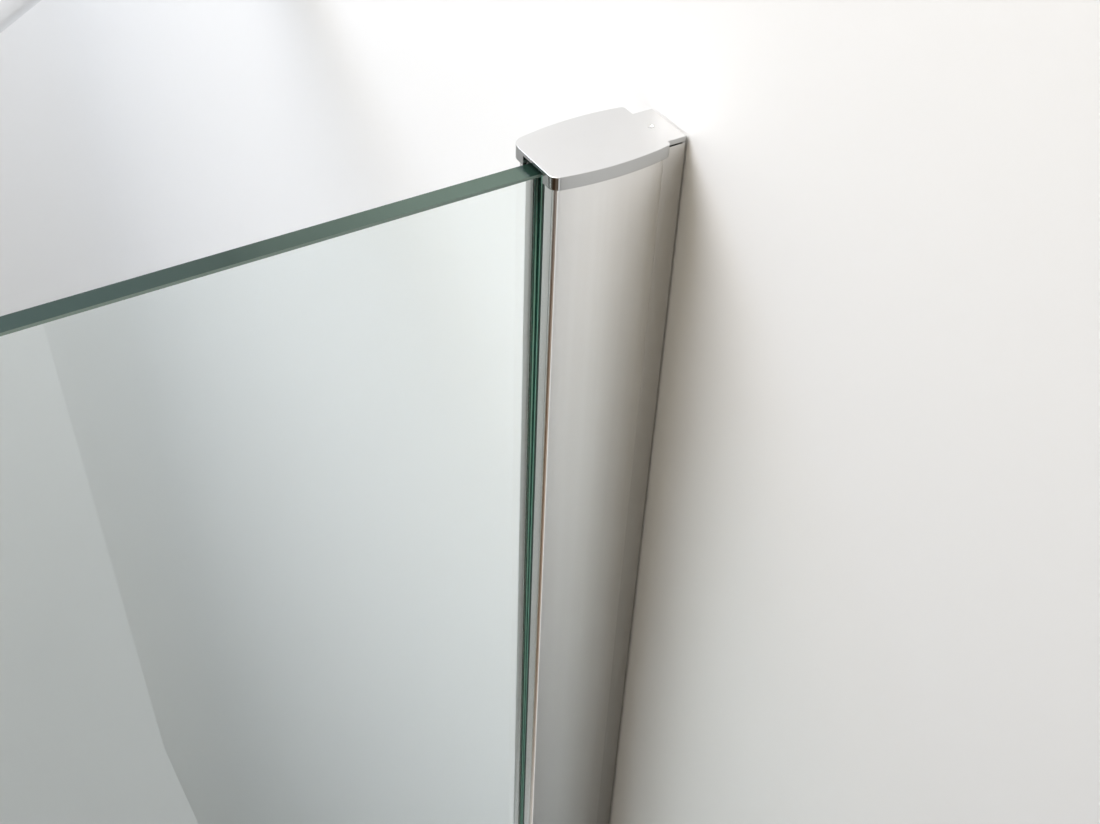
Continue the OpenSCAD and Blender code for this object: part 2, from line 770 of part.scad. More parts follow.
side_b() hinge_fixed_backplate();  // hinge_fixed_backplate_b
both_sides() hinge_pads(-1);  // hinge_fixed_pads
both_sides() hinge_screws(-1);  // hinge_fixed_screws
both_sides() hinge_pin();  // hinge_pins
side_a() hinge_door_leaf();  // hinge_door_leaf_a
side_b() hinge_door_leaf();  // hinge_door_leaf_b
side_a() hinge_door_backplate();  // hinge_door_backplate_a
side_b() hinge_door_backplate();  // hinge_door_backplate_b
side_a() hinge_pads(1);  // hinge_door_pads_a
side_b() hinge_pads(1);  // hinge_door_pads_b
side_a() hinge_screws(1);  // hinge_door_screws_a
side_b() hinge_screws(1);  // hinge_door_screws_b
side_a() door_pane();  // door_pane_a
side_b() door_pane();  // door_pane_b
side_a() magnet_seal();  // magnet_seal_a
side_b() magnet_seal();  // magnet_seal_b
side_a() magnet_strip();  // magnet_strip_a
side_b() magnet_strip();  // magnet_strip_b
side_a() hinge_seal();  // hinge_seal_a
side_b() hinge_seal();  // hinge_seal_b
side_a() drip_seal();  // drip_seal_a
side_b() drip_seal();  // drip_seal_b
side_a() handle();  // handle_outer_a
side_b() handle();  // handle_outer_b
side_a() mirror([0, 1, 0]) handle();  // handle_inner_a
side_b() mirror([0, 1, 0]) handle();  // handle_inner_b
side_a() handle_rods();  // handle_rods_a
side_b() handle_rods();  // handle_rods_b
side_a() handle_washers();  // handle_washers_a
side_b() handle_washers();  // handle_washers_b
side_a() brace_bar();  // brace_bar_a
side_b() brace_bar();  // brace_bar_b
side_a() brace_flange();  // brace_flange_a
side_b() brace_flange();  // brace_flange_b
side_a() brace_clamp();  // brace_clamp_a
side_b() brace_clamp();  // brace_clamp_b
both_sides() brace_pad();  // brace_pads
both_sides() brace_grubs();  // brace_screws
side_a() threshold_bar();  // threshold_bar_a
side_b() threshold_bar();  // threshold_bar_b
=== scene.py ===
import math
import re

import bpy
import numpy as np
from mathutils import Euler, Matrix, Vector
from mathutils.geometry import tessellate_polygon


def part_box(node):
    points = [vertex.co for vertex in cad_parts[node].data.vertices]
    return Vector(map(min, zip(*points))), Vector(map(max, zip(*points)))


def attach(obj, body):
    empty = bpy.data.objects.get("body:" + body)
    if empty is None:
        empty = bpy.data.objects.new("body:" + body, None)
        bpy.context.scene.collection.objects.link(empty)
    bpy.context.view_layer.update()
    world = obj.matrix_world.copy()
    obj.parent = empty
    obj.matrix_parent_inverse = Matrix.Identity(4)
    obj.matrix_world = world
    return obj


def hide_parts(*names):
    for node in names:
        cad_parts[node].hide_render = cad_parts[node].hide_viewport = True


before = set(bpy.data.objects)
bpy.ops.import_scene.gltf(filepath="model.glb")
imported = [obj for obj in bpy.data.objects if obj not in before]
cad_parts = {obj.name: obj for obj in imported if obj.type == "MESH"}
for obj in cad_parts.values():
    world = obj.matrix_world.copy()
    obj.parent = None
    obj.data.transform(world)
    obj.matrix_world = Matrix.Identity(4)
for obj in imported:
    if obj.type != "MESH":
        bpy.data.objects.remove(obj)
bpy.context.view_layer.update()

# Every piece is worked out once, for side A, in millimetres: x runs along the glass from the
# wall, y points out of the enclosure from the middle of the glass, and z points up from the
# floor. Side B is the same with the room's two walls swapped.
mm = 0.001
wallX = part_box("wall_channel_a")[0].x
glassY = sum(corner.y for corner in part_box("fixed_pane_a")) / 2
origin = np.array([wallX, glassY, 0.0])


def localBox(node):
    # lowest and highest corner of a side A node, in side A's own millimetres
    low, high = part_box(node + "_a")
    return (np.array(low) - origin) / mm, (np.array(high) - origin) / mm


def toFrame(points, side):
    # side A: origin + points; side B: the same with x and y swapped, a mirror in the diagonal
    placed = points * mm + origin
    return placed if side == "a" else placed[:, [1, 0, 2]]


capLow, capHigh = localBox("top_cap")
profileLow, profileHigh = localBox("frame_profile")
channelLow, channelHigh = localBox("wall_channel")
paneLow, paneHigh = localBox("fixed_pane")
doorLow, doorHigh = localBox("door_pane")
glassHalf, glassTop = paneHigh[1:]
overall = capHigh[2]

# Outlines, as closed loops of (u, v) points


def unit(vectors):
    return vectors / np.linalg.norm(vectors, axis=1)[:, None]


def joined(*pieces):
    # one loop, without double points
    loop = np.concatenate(pieces)
    return loop[np.linalg.norm(loop - np.roll(loop, 1, 0), axis=1) > 1e-5]


def arc(u, v, radius, angle):
    # (u + r cos a, v + r sin a)
    return np.stack([u + radius * np.cos(angle), v + radius * np.sin(angle)], -1)


def quarter(steps):
    return np.linspace(0, np.pi / 2, steps + 1)


def roundedLoop(corners, steps=6, guard=0.3):
    # corners are rows of (u, v, radius). Each becomes an arc that touches both sides, its centre
    # radius / sin(half angle) along the bisector. A guard point beside each end of the arc keeps
    # the shading of the straight sides flat.
    corners = np.array(corners, float)
    xy, radius = corners[:, :2], corners[:, 2]
    back, ahead = unit(np.roll(xy, 1, 0) - xy), unit(np.roll(xy, -1, 0) - xy)
    half = 0.5 * np.arccos(np.clip(np.sum(back * ahead, 1), -1, 1))
    reach = radius / np.tan(half)
    centre = xy + unit(back + ahead) * (radius / np.sin(half))[:, None]
    first, last = xy + back * reach[:, None], xy + ahead * reach[:, None]
    start = np.arctan2(*(first - centre).T[::-1])
    sweep = np.arctan2(*(last - centre).T[::-1]) - start
    sweep = (sweep + np.pi) % (2 * np.pi) - np.pi
    angles = start[:, None] + sweep[:, None] * np.linspace(0, 1, steps + 1)
    arcs = arc(centre[:, :1], centre[:, 1:], radius[:, None], angles)
    free = np.linalg.norm(np.roll(xy, -1, 0) - xy, axis=1) - reach - np.roll(reach, -1)
    margin = np.where(free > 1e-4, np.minimum(guard, 0.3 * free), 0)
    before = first + back * np.roll(margin, 1)[:, None]
    after = last + ahead * margin[:, None]
    return joined(np.concatenate([before[:, None], arcs, after[:, None]], 1).reshape(-1, 2))


def circleLoop(u, v, radius, count=48):
    return arc(u, v, radius, np.arange(count) * 2 * np.pi / count)


def rectangle(u0, v0, u1, v1, radius, steps):
    return roundedLoop([(u0, v0, radius), (u1, v0, radius), (u1, v1, radius), (u0, v1, radius)], steps)


def inwards(loop):
    # mitre direction of each point: the mean of both sides' left hand normals, long enough
    # that a step of 1 along it moves both sides by 1
    left = unit(np.roll(loop, -1, 0) - loop)[:, ::-1] * [-1, 1]
    before = np.roll(left, 1, 0)
    return (left + before) / (1 + np.sum(left * before, 1))[:, None]


# Ways to place (u, v, w) in side A's millimetres


def upright(x=0, y=0, z=0):
    return lambda p: p + [x, y, z]


def facing(x=0, y=0, z=0):
    # u along x, v along z, w along y: for what is cut from a sheet parallel to the glass
    return lambda p: p[:, [0, 2, 1]] + [x, y, z]


def inwardFacing(x=0, y=0, z=0):
    # the same with w pointing into the enclosure
    return lambda p: p[:, [0, 2, 1]] * [1, -1, 1] + [x, y, z]


def alongX(p):
    # section drawn as (y, z), carried along x
    return p[:, [2, 0, 1]]


# Surfaces. Each gives its points, and arrays of faces as point numbers, each with a finish.


def gridFaces(rows, columns, closedRows=False):
    # the four points round cell (i, j), with the columns closed into a ring
    i, j = np.meshgrid(np.arange(rows - (not closedRows)), np.arange(columns), indexing="ij")
    up, right = (i + 1) % rows, (j + 1) % columns
    corners = [i * columns + j, i * columns + right, up * columns + right, up * columns + j]
    return np.stack(corners, -1).reshape(-1, 4)


def surface(points, groups, place):
    # puts points in place, and turns the faces round if place mirrors: its determinant is below 0
    base = place(np.concatenate([np.zeros((1, 3)), np.eye(3)]))
    order = slice(None, None, -1) if np.linalg.det(base[1:] - base[0]) < 0 else slice(None)
    return place(points), [(faces[:, order], finish) for faces, finish in groups]


def rimmed(low, high, rim, steps=3, guard=0.3):
    # heights and insets along a wall from low to high whose two rims are quarter circles:
    # height = rim (1 - cos t), inset = rim (1 - sin t), with guard rings beside them
    lowRim, highRim = rim if isinstance(rim, tuple) else (rim, rim)
    t = quarter(steps)
    rows = np.concatenate([
        [(low, lowRim + guard)], arc(low + lowRim, lowRim, -lowRim, t), [(low + lowRim + guard, 0)],
        [(high - highRim - guard, 0)], arc(high - highRim, highRim, highRim, -t)[::-1],
        [(high, highRim + guard)]])
    return rows[np.concatenate([[True], np.any(np.abs(np.diff(rows, axis=0)) > 1e-6, axis=1)])]


def prism(walls, place=upright(), bands=None, lift=None):
    # walls is a list of (loop, stations). The point at station (w, inset) is
    # (loop + inset * its mitre direction, w). The first loop is the outline and the others are
    # holes, turned to run clockwise. Flat caps close both ends. Bands are the finishes between
    # the stations. A lift raises the low end to w + lift(point) * (high - w) / (high - low).
    points, groups, ends, count = [], [], ([], []), 0
    for index, (loop, stations) in enumerate(walls):
        loop = loop[::-1] if index else loop
        heights, insets = np.array(stations, float).T
        flat = loop[None] + insets[:, None, None] * inwards(loop)[None]
        high = np.broadcast_to(heights[:, None, None], flat.shape[:2] + (1,))
        if lift:
            share = (heights[-1] - high) / (heights[-1] - heights[0])
            high = high + lift(loop)[None, :, None] * share
        points.append(np.concatenate([flat, high], -1).reshape(-1, 3))
        quads = count + gridFaces(len(heights), len(loop))
        if bands and not index:
            groups += zip(quads.reshape(len(bands), -1, 4), bands)
        else:
            groups.append((quads, bands[1] if bands else 0))
        ends[0].append(count + np.arange(len(loop)))
        ends[1].append(count + (len(heights) - 1) * len(loop) + np.arange(len(loop)))
        count += flat.shape[0] * flat.shape[1]
    points = np.concatenate(points)
    for rings, up in zip(ends, (False, True)):
        flats = [[Vector((*points[k, :2], 0)) for k in ring] for ring in rings]
        faces = np.concatenate(rings)[np.array(tessellate_polygon(flats))]
        a, b, c = (points[faces[:, k], :2] for k in range(3))
        spin = (b - a)[:, 0] * (c - a)[:, 1] - (b - a)[:, 1] * (c - a)[:, 0]
        wrong = (spin > 0) != up
        faces[wrong] = faces[wrong][:, ::-1]
        groups.append((faces, 0))
    return surface(points, groups, place)


def slab(loop, low, high, rim, place=upright(), holes=(), holeRim=0.15, guard=0.3, steps=3):
    # a prism with round rims, and holes with small ones. Rim and guard together stay below the
    # outline's tightest corner.
    walls = [(loop, rimmed(low, high, rim, steps, guard))]
    walls += [(hole, rimmed(low, high, holeRim, guard=0.05)) for hole in holes]
    return prism(walls, place)


def ringsOf(radius, height, turns):
    # rings of (r cos a, r sin a, h), for a radius and a height given for each ring or point
    angle = np.arange(turns) * 2 * np.pi / turns
    radius, height = radius + 0 * angle, height + 0 * angle
    return np.stack([radius * np.cos(angle), radius * np.sin(angle), height], -1)


def tube(rings, place, poles=(None, None), looped=False):
    # rings joined upwards. A pole is the height of a point on the axis that closes an end.
    count, turns = rings.shape[:2]
    points = rings.reshape(-1, 3)
    groups = [(gridFaces(count, turns, looped), 0)]
    ring, after = np.arange(turns), (np.arange(turns) + 1) % turns
    for height, start, pair in zip(poles, (0, (count - 1) * turns), ((after, ring), (ring, after))):
        if height is not None:
            pole = np.full(turns, len(points))
            groups.append((np.stack([pole, start + pair[0], start + pair[1]], 1), 0))
            points = np.concatenate([points, [[0, 0, height]]])
    return surface(points, groups, place)


def revolve(rows, place=upright(), turns=48, looped=False):
    # turns rows of (r, h), which run upwards on the outside and from axis to axis
    rows = np.array(rows, float)
    poles = (None, None) if looped else (rows[0, 1], rows[-1, 1])
    rings = rows if looped else rows[1:-1]
    return tube(ringsOf(rings[:, :1], rings[:, 1:], turns), place, poles, looped)


def roundedRod(radius, low, high, rim, steps=4):
    # profile of a solid rod whose ends have round rims
    t, edge = quarter(steps), radius - rim
    inner = max(edge - 0.3, radius * 0.3)
    guard = min(0.3, (high - low - 2 * rim) / 3)
    return np.concatenate([
        [(0, low), (inner, low)], arc(edge, low + rim, rim, t - np.pi / 2), [(radius, low + rim + guard)],
        [(radius, high - rim - guard)], arc(edge, high - rim, rim, t), [(inner, high), (0, high)]])


# Pieces


def addObject(name, data):
    made = bpy.data.objects.new(name, data)
    bpy.context.scene.collection.objects.link(made)
    return made


def makePiece(name, parts, slotName, *materials, onDoor=False, together=False):
    # joins surfaces into one mesh for each side, or into one for both. A piece stands for the
    # CAD node of its name, and rides on the frame or on its side's door.
    node = re.sub("[A-Z]", lambda capital: "_" + capital.group().lower(), name)
    for sides in ["ab"] if together else ["a", "b"]:
        points, faces, finishes, count = [], [], [], 0
        for side in sides:
            for partPoints, groups in parts:
                points.append(toFrame(partPoints, side))
                for numbers, finish in groups:
                    numbers = numbers if side == "a" else numbers[:, ::-1]
                    faces += (numbers + count).tolist()
                    finishes += [finish] * len(numbers)
                count += len(partPoints)
        label = name if together else name + sides.upper()
        mesh = bpy.data.meshes.new(label)
        mesh.from_pydata(np.concatenate(points).tolist(), [], faces)
        mesh.polygons.foreach_set("material_index", finishes)
        for material in materials:
            mesh.materials.append(material[sides] if isinstance(material, dict) else material)
        mesh.shade_smooth()
        mesh.set_sharp_from_angle(angle=math.radians(38))
        mesh.update()
        piece = addObject(label, mesh)
        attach(piece, f"door_{sides}" if onDoor else "enclosure_frame")
        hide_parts(node if together else f"{node}_{sides}")


# Node helpers. A node goes into the tree of the sockets that feed it.


def feed(node, inputs):
    for key, value in inputs.items():
        if isinstance(value, bpy.types.NodeSocket):
            value.id_data.links.new(value, node.inputs[key])
        else:
            node.inputs[key].default_value = value


def addNode(tree, kind, inputs=None, **settings):
    node = tree.nodes.new("ShaderNode" + kind)
    for key, value in settings.items():
        setattr(node, key, value)
    feed(node, inputs or {})
    return node.outputs


def calc(operation, a, b=0.0, clamp=False):
    return addNode(a.id_data, "Math", {0: a, 1: b}, operation=operation, use_clamp=clamp)[0]


def weighted(*terms):
    # the sum of value * weight, kept between 0 and 1
    total, *rest = [calc("MULTIPLY", value, weight) for value, weight in terms]
    for term in rest:
        total = calc("ADD", total, term, True)
    return total


def remap(value, low, high, toLow=0.0, toHigh=1.0, **settings):
    return addNode(value.id_data, "MapRange", {
        "Value": value, "From Min": low, "From Max": high, "To Min": toLow, "To Max": toHigh},
        **settings)["Result"]


def vectorMath(operation, a, b):
    return addNode(a.id_data, "VectorMath", {0: a, 1: b}, operation=operation)[0]


def separate(vector):
    return addNode(vector.id_data, "SeparateXYZ", {0: vector})


def noise(where, scale, detail=2.0, roughness=0.5):
    return addNode(where.id_data, "TexNoise", {
        "Vector": where, "Scale": scale, "Detail": detail, "Roughness": roughness})


def blendColours(factor, first, second):
    colours = [c if isinstance(c, bpy.types.NodeSocket) else (*c, 1) for c in (first, second)]
    return addNode(factor.id_data, "Mix", {"Factor": factor, 6: colours[0], 7: colours[1]},
                   data_type="RGBA")[2]


def mixShaders(factor, first, second):
    return addNode(first.id_data, "MixShader", {0: factor, 1: first, 2: second})[0]


def newGroup(name, inputs, outputs):
    # inputs with a number are values, the others are vectors
    group = bpy.data.node_groups.new(name, "ShaderNodeTree")
    for socket, value in inputs.items():
        kind = "NodeSocketFloat" if isinstance(value, float) else "NodeSocketVector"
        made = group.interface.new_socket(socket, in_out="INPUT", socket_type=kind)
        if value is not None:
            made.default_value = value
    for socket in outputs:
        group.interface.new_socket(socket, in_out="OUTPUT", socket_type="NodeSocketFloat")
    return group.nodes.new("NodeGroupInput").outputs, group.nodes.new("NodeGroupOutput")


def makeDrawnLines():
    # fine lines that a die or a polishing belt leaves: noise stretched along one direction
    source, out = newGroup("drawnLines", {
        "Vector": None, "Stretch": (1, 1, 0.01), "Fineness": 2500.0}, ["Fine", "Broad"])
    scaled = vectorMath("MULTIPLY", source["Vector"], source["Stretch"])
    fine = noise(scaled, source["Fineness"], 3.0)["Fac"]
    broad = noise(scaled, calc("MULTIPLY", source["Fineness"], 0.12))["Fac"]
    feed(out, {"Fine": remap(fine, 0.3, 0.7), "Broad": remap(broad, 0.3, 0.7)})


def makeHandling():
    # faint smears from hands and cloths, and hairline scratches in all directions
    source, out = newGroup("handling", {
        "Vector": None, "Smear Size": 12.0, "Scratch Density": 60.0}, ["Smears", "Scratches"])
    vector = source["Vector"]
    moved = vectorMath("MULTIPLY", noise(vector, 7.0)["Color"], (0.08, 0.08, 0.08))
    swirled = vectorMath("ADD", vector, moved)
    smear = noise(swirled, source["Smear Size"], 5.0, 0.62)["Fac"]
    cells = addNode(vector.id_data, "TexVoronoi", {
        "Vector": swirled, "Scale": source["Scratch Density"]}, feature="DISTANCE_TO_EDGE")
    line = remap(cells["Distance"], 0.0, 0.012, 1.0, 0.0)
    gate = remap(noise(vector, 40.0)["Fac"], 0.56, 0.66)
    feed(out, {"Smears": remap(smear, 0.35, 0.72), "Scratches": calc("MULTIPLY", line, gate)})


def makeDriedDrops():
    # rings that drops of water leave when they dry, in some cells only
    source, out = newGroup("driedDrops", {"Vector": None, "Density": 90.0, "Share": 0.5}, ["Rings", "Film"])
    cells = addNode(source["Vector"].id_data, "TexVoronoi", {
        "Vector": source["Vector"], "Scale": source["Density"], "Randomness": 0.9})
    pick = addNode(cells["Color"].id_data, "SeparateColor", {"Color": cells["Color"]})
    size = remap(pick["Green"], 0.0, 1.0, 0.12, 0.34)
    edge = calc("ABSOLUTE", calc("SUBTRACT", cells["Distance"], size))
    ring = remap(edge, 0.0, 0.05, 1.0, 0.0)
    inside = calc("LESS_THAN", cells["Distance"], size)
    chosen = calc("LESS_THAN", pick["Red"], source["Share"])
    feed(out, {"Rings": calc("MULTIPLY", ring, chosen), "Film": calc("MULTIPLY", inside, chosen)})


makeDrawnLines()
makeHandling()
makeDriedDrops()


def spaced(values):
    return {key.replace("_", " "): value for key, value in values.items()}


def useGroup(name, where, **inputs):
    return addNode(where.id_data, "Group", {"Vector": where, **spaced(inputs)},
                   node_tree=bpy.data.node_groups[name])


def newMaterial(name, **constants):
    # a material, its Principled shader with constants on its sockets, and the place in the piece
    material = bpy.data.materials.new(name)
    material.use_nodes = True
    tree = material.node_tree
    shader = tree.nodes["Principled BSDF"]
    feed(shader, spaced(constants))
    return material, shader, addNode(tree, "TexCoord")["Object"]


def finished(material, shader, colour, rough, height=None, strength=0.0, depth=0.00002):
    # feeds the shader, with a bump where there is a height, and gives back the material
    feed(shader, {"Base Color": colour, "Roughness": rough})
    if height:
        bump = addNode(shader.id_data, "Bump", {"Height": height, "Strength": strength, "Distance": depth})
        feed(shader, {"Normal": bump["Normal"]})
    return material


def passLight(shader, tint):
    # rays to a lamp pass through and take the tint
    tree = shader.id_data
    clear = addNode(tree, "BsdfTransparent", {"Color": (*tint, 1)})[0]
    mixed = mixShaders(addNode(tree, "LightPath")["Is Shadow Ray"], shader.outputs[0], clear)
    feed(tree.nodes["Material Output"], {"Surface": mixed})


# Metals

barFinish = {"colour": (0.88, 0.875, 0.86), "darker": (0.81, 0.8, 0.78), "smooth": 0.17,
             "rough": 0.24, "fineness": 2600.0}
channelFinish = {**barFinish, "colour": (0.7, 0.69, 0.67), "darker": (0.62, 0.61, 0.59)}


def extrudedMetal(name, look, stretch):
    # anodised aluminium: lines along the extrusion vary its gloss and tint a little
    material, shader, where = newMaterial(name, Metallic=1.0)
    lines = useGroup("drawnLines", where, Stretch=stretch, Fineness=look["fineness"])
    marks = useGroup("handling", where, Smear_Size=9.0, Scratch_Density=35.0)
    tint = weighted((lines["Broad"], 0.5), (marks["Smears"], 0.25))
    gloss = weighted((lines["Fine"], 0.5), (marks["Smears"], 0.5))
    height = calc("SUBTRACT", lines["Fine"], calc("MULTIPLY", marks["Scratches"], 0.6))
    return finished(material, shader, blendColours(tint, look["colour"], look["darker"]),
                    remap(gloss, 0.0, 1.0, look["smooth"], look["rough"]), height, 0.05)


def polishedMetal(name, colour, smooth, rough, drops=0.0, top=None):
    # plated and buffed metal: smears, hairlines and a few dried drops change its gloss. Faces
    # that look up can be given a lighter colour: a painted highlight on the top faces.
    material, shader, where = newMaterial(name, Metallic=1.0)
    marks = useGroup("handling", where, Smear_Size=22.0, Scratch_Density=110.0)
    spots = useGroup("driedDrops", where, Density=160.0, Share=drops)
    dull = weighted((marks["Smears"], 0.7), (marks["Scratches"], 0.5), (spots["Film"], 0.35))
    worn = calc("MULTIPLY", calc("ADD", dull, spots["Rings"], True), 0.06)
    if top:
        # painted highlight: faces that look up are blended to the lighter top colour
        up = separate(addNode(where.id_data, "NewGeometry")["Normal"])["Z"]
        colour = blendColours(remap(up, 0.5, 0.95), colour, top)
    return finished(material, shader, blendColours(worn, colour, (0, 0, 0)),
                    remap(dull, 0.0, 1.0, smooth, rough),
                    calc("SUBTRACT", spots["Rings"], marks["Scratches"]), 0.04)


# Glass. Its edge carries painted light and shade: it is painted lighter close to the wall, as
# the profile lights it up close, darker over the metres from the wall that paintedLightReach gives,
# and darker again over those of slot, inside the cap, as painted shadow of the cap.

glass = {"tint": (0.925, 0.968, 0.952), "dried": (0.86, 0.9, 0.885), "shadow": (0.84, 0.875, 0.86),
         "edge": (0.056, 0.084, 0.07), "edgeDeepAndShaded": (0.01, 0.023, 0.018), "arris": (0.1, 0.14, 0.125),
         "arrisDark": (0.05, 0.08, 0.07), "paintedLightReach": (0.055, 0.115), "slot": (0.04, 0.0385)}


def paneGlass():
    # toughened glass with a trace of green, cloth marks and a few dried drops
    material, shader, where = newMaterial("paneGlass", Metallic=0.0, IOR=1.5, Transmission_Weight=1.0)
    marks = useGroup("handling", where, Smear_Size=3.5, Scratch_Density=18.0)
    spots = useGroup("driedDrops", where, Density=70.0, Share=0.16)
    tint = blendColours(calc("MULTIPLY", spots["Rings"], 0.08), glass["tint"], glass["dried"])
    passLight(shader, glass["shadow"])
    return finished(material, shader, tint, weighted((marks["Smears"], 0.012), (spots["Rings"], 0.03)))


def edgeGlass():
    # the polished edge, where the long way through the pane shows as deep green
    material, shader, where = newMaterial("edgeGlass", IOR=1.5, Specular_IOR_Level=0.15)
    lines = useGroup("drawnLines", where, Stretch=(0.05, 0.05, 0.05), Fineness=6000.0)
    place = separate(where)
    reach = calc("SUBTRACT", calc("MINIMUM", place["X"], place["Y"]), wallX)
    # painted light and shade: lighter near the wall, darker further out, and a painted shadow inside the
    # cap's slot
    deep = calc("ADD", calc("MULTIPLY", lines["Broad"], 0.15), remap(reach, *glass["paintedLightReach"]))
    deep = calc("ADD", deep, remap(reach, *glass["slot"]), True)
    return finished(material, shader, blendColours(deep, glass["edge"], glass["edgeDeepAndShaded"]),
                    remap(lines["Fine"], 0.0, 1.0, 0.12, 0.22), lines["Fine"], 0.06)


def arrisGlass():
    # the narrow ground arris between the face and the edge
    material, shader, where = newMaterial("arrisGlass", IOR=1.5)
    grit = noise(where, 3000.0, 3.0)["Fac"]
    return finished(material, shader, blendColours(grit, glass["arris"], glass["arrisDark"]),
                    remap(grit, 0.3, 0.7, 0.3, 0.45), grit, 0.15, 0.00003)


# Rubber and plastic


def rubber(name, colour, lighter, roughness):
    # extruded rubber: lines along it, and a light bloom in patches
    material, shader, where = newMaterial(name, IOR=1.5)
    lines = useGroup("drawnLines", where, Stretch=(1, 1, 0.02), Fineness=3500.0)
    bloom = calc("MULTIPLY", remap(noise(where, 45.0, 4.0)["Fac"], 0.4, 0.75), lines["Broad"])
    rough = remap(lines["Fine"], 0.0, 1.0, roughness - 0.08, roughness + 0.06)
    return finished(material, shader, blendColours(bloom, colour, lighter), rough, lines["Fine"], 0.12,
                    0.00004)


def clearSeal(name, stretch):
    # soft clear plastic, a little milky, with lines along the extrusion
    material, shader, where = newMaterial(name, Metallic=0.0, IOR=1.45, Transmission_Weight=0.85)
    lines = useGroup("drawnLines", where, Stretch=stretch, Fineness=2200.0)
    cloud = remap(noise(where, 14.0, 4.0)["Fac"], 0.35, 0.7)
    rough = calc("ADD", weighted((lines["Fine"], 0.1), (cloud, 0.12)), 0.12)
    passLight(shader, (0.85, 0.88, 0.87))
    return finished(material, shader, blendColours(cloud, (0.9, 0.92, 0.915), (0.82, 0.85, 0.84)),
                    rough, lines["Fine"], 0.1, 0.00004)


def mouldedPlastic(name, colour, darker, roughness):
    # moulded nylon with a fine spark-eroded grain
    material, shader, where = newMaterial(name, IOR=1.5)
    grain = noise(where, 1800.0, 3.0)["Fac"]
    rough = remap(grain, 0.3, 0.7, roughness - 0.08, roughness + 0.08)
    return finished(material, shader, blendColours(noise(where, 60.0, 3.0)["Fac"], colour, darker),
                    rough, grain, 0.2, 0.00003)


alongZ, acrossX, acrossY = (1, 1, 0.004), (0.004, 1, 1), (1, 0.004, 1)
profileMetal = extrudedMetal("profileMetal", barFinish, alongZ)
channelMetal = extrudedMetal("channelMetal", channelFinish, alongZ)
thresholdMetal = {"a": extrudedMetal("thresholdMetalA", barFinish, acrossX),
                  "b": extrudedMetal("thresholdMetalB", barFinish, acrossY)}
# painted highlight: the cap's top faces get a lighter colour than its skirt
capMetal = polishedMetal("capMetal", (0.53, 0.535, 0.53), 0.04, 0.1, top=(0.77, 0.77, 0.77))
chrome = polishedMetal("chrome", (0.66, 0.67, 0.68), 0.03, 0.09, 0.12)
steel = polishedMetal("steel", (0.55, 0.55, 0.54), 0.16, 0.3)
paneFinishes = [paneGlass(), edgeGlass(), arrisGlass()]
wedgeRubber = rubber("wedgeRubber", (0.002, 0.017, 0.01), (0.008, 0.03, 0.02), 0.46)
# painted highlight: the ribs' lighter greens stand in for the highlights along them
wedgeHighlightRib = rubber("wedgeHighlightRib", (0.15, 0.34, 0.26), (0.19, 0.38, 0.3), 0.36)
tapeRubber = rubber("tapeRubber", (0.0, 0.07, 0.045), (0.01, 0.09, 0.065), 0.5)
tapeHighlightRib = rubber("tapeHighlightRib", (0.5, 0.84, 0.7), (0.55, 0.88, 0.74), 0.4)
padRubber = rubber("padRubber", (0.01, 0.01, 0.01), (0.04, 0.04, 0.04), 0.6)
uprightSeal = clearSeal("uprightSeal", alongZ)
levelSeal = {"a": clearSeal("levelSealA", acrossX), "b": clearSeal("levelSealB", acrossY)}
magnetCore = mouldedPlastic("magnetCore", (0.045, 0.03, 0.022), (0.02, 0.016, 0.014), 0.55)
washerPlastic = mouldedPlastic("washerPlastic", (0.75, 0.76, 0.75), (0.66, 0.67, 0.66), 0.35)
print("materials made")

# Frame profile: bowed sides, a chamber for the wall channel and a pocket for the glass

profile = {"bowRadius": 76.0, "outerMid": 21.0, "innerMid": 18.0, "endOuter": 2.4, "endInner": 3.8,
           "rear": 1.0, "wall": 1.4, "chamberPlay": 0.15, "wedge": 1.4, "tape": 0.4, "edgeGap": 1.2,
           "leastCorner": 0.3, "arcSteps": 56, "cornerSteps": 10}
capInset = capHigh[0] - profileHigh[0]
capRear = profileLow[0] - capInset
pocketX = paneLow[0] - profile["edgeGap"]
pocketOut, pocketIn = glassHalf + profile["wedge"], glassHalf + profile["tape"]
chamberOut = channelHigh[1] + profile["chamberPlay"]
chamberIn = -channelLow[1] + profile["chamberPlay"]
# for each side: the bow's middle, its greatest width and the radius at the free end
bows = {1: (profile["outerMid"], capHigh[1], profile["endOuter"]),
        -1: (profile["innerMid"], -capLow[1], profile["endInner"])}


def bowedHalf(inset, side):
    # one side of the outline, from the end face round to the rear, or back on the inner side:
    # the bow is centre + (R - inset) (cos a, sin a). Each corner is a circle, its radius less by
    # the inset, that touches the end line and the bow and turns from one's normal to the other's.
    midX, width, endRadius = bows[side]
    midY = side * (width - profile["bowRadius"])
    reach = profile["bowRadius"] - inset
    corners, limits = [], []
    for end, radius in ((1, endRadius), (-1, profile["rear"])):
        corner = max(radius - inset, profile["leastCorner"])
        x = capHigh[0] - inset - corner if end > 0 else capRear + inset + corner
        y = midY + side * math.sqrt((reach - corner) ** 2 - (x - midX) ** 2)
        turn = math.atan2(side * (y - midY), end * (x - midX))
        t = turn * np.linspace(0, 1, profile["cornerSteps"] + 1)
        corners.append([x, y] + arc(0, 0, corner, t) * [end, side])
        limits.append(math.atan2(y - midY, x - midX))
    a = np.linspace(*limits, profile["arcSteps"] + 1)[1:-1]
    half = np.concatenate([corners[0], arc(midX, midY, reach, a), corners[1][::-1]])
    return half if side > 0 else half[::-1]


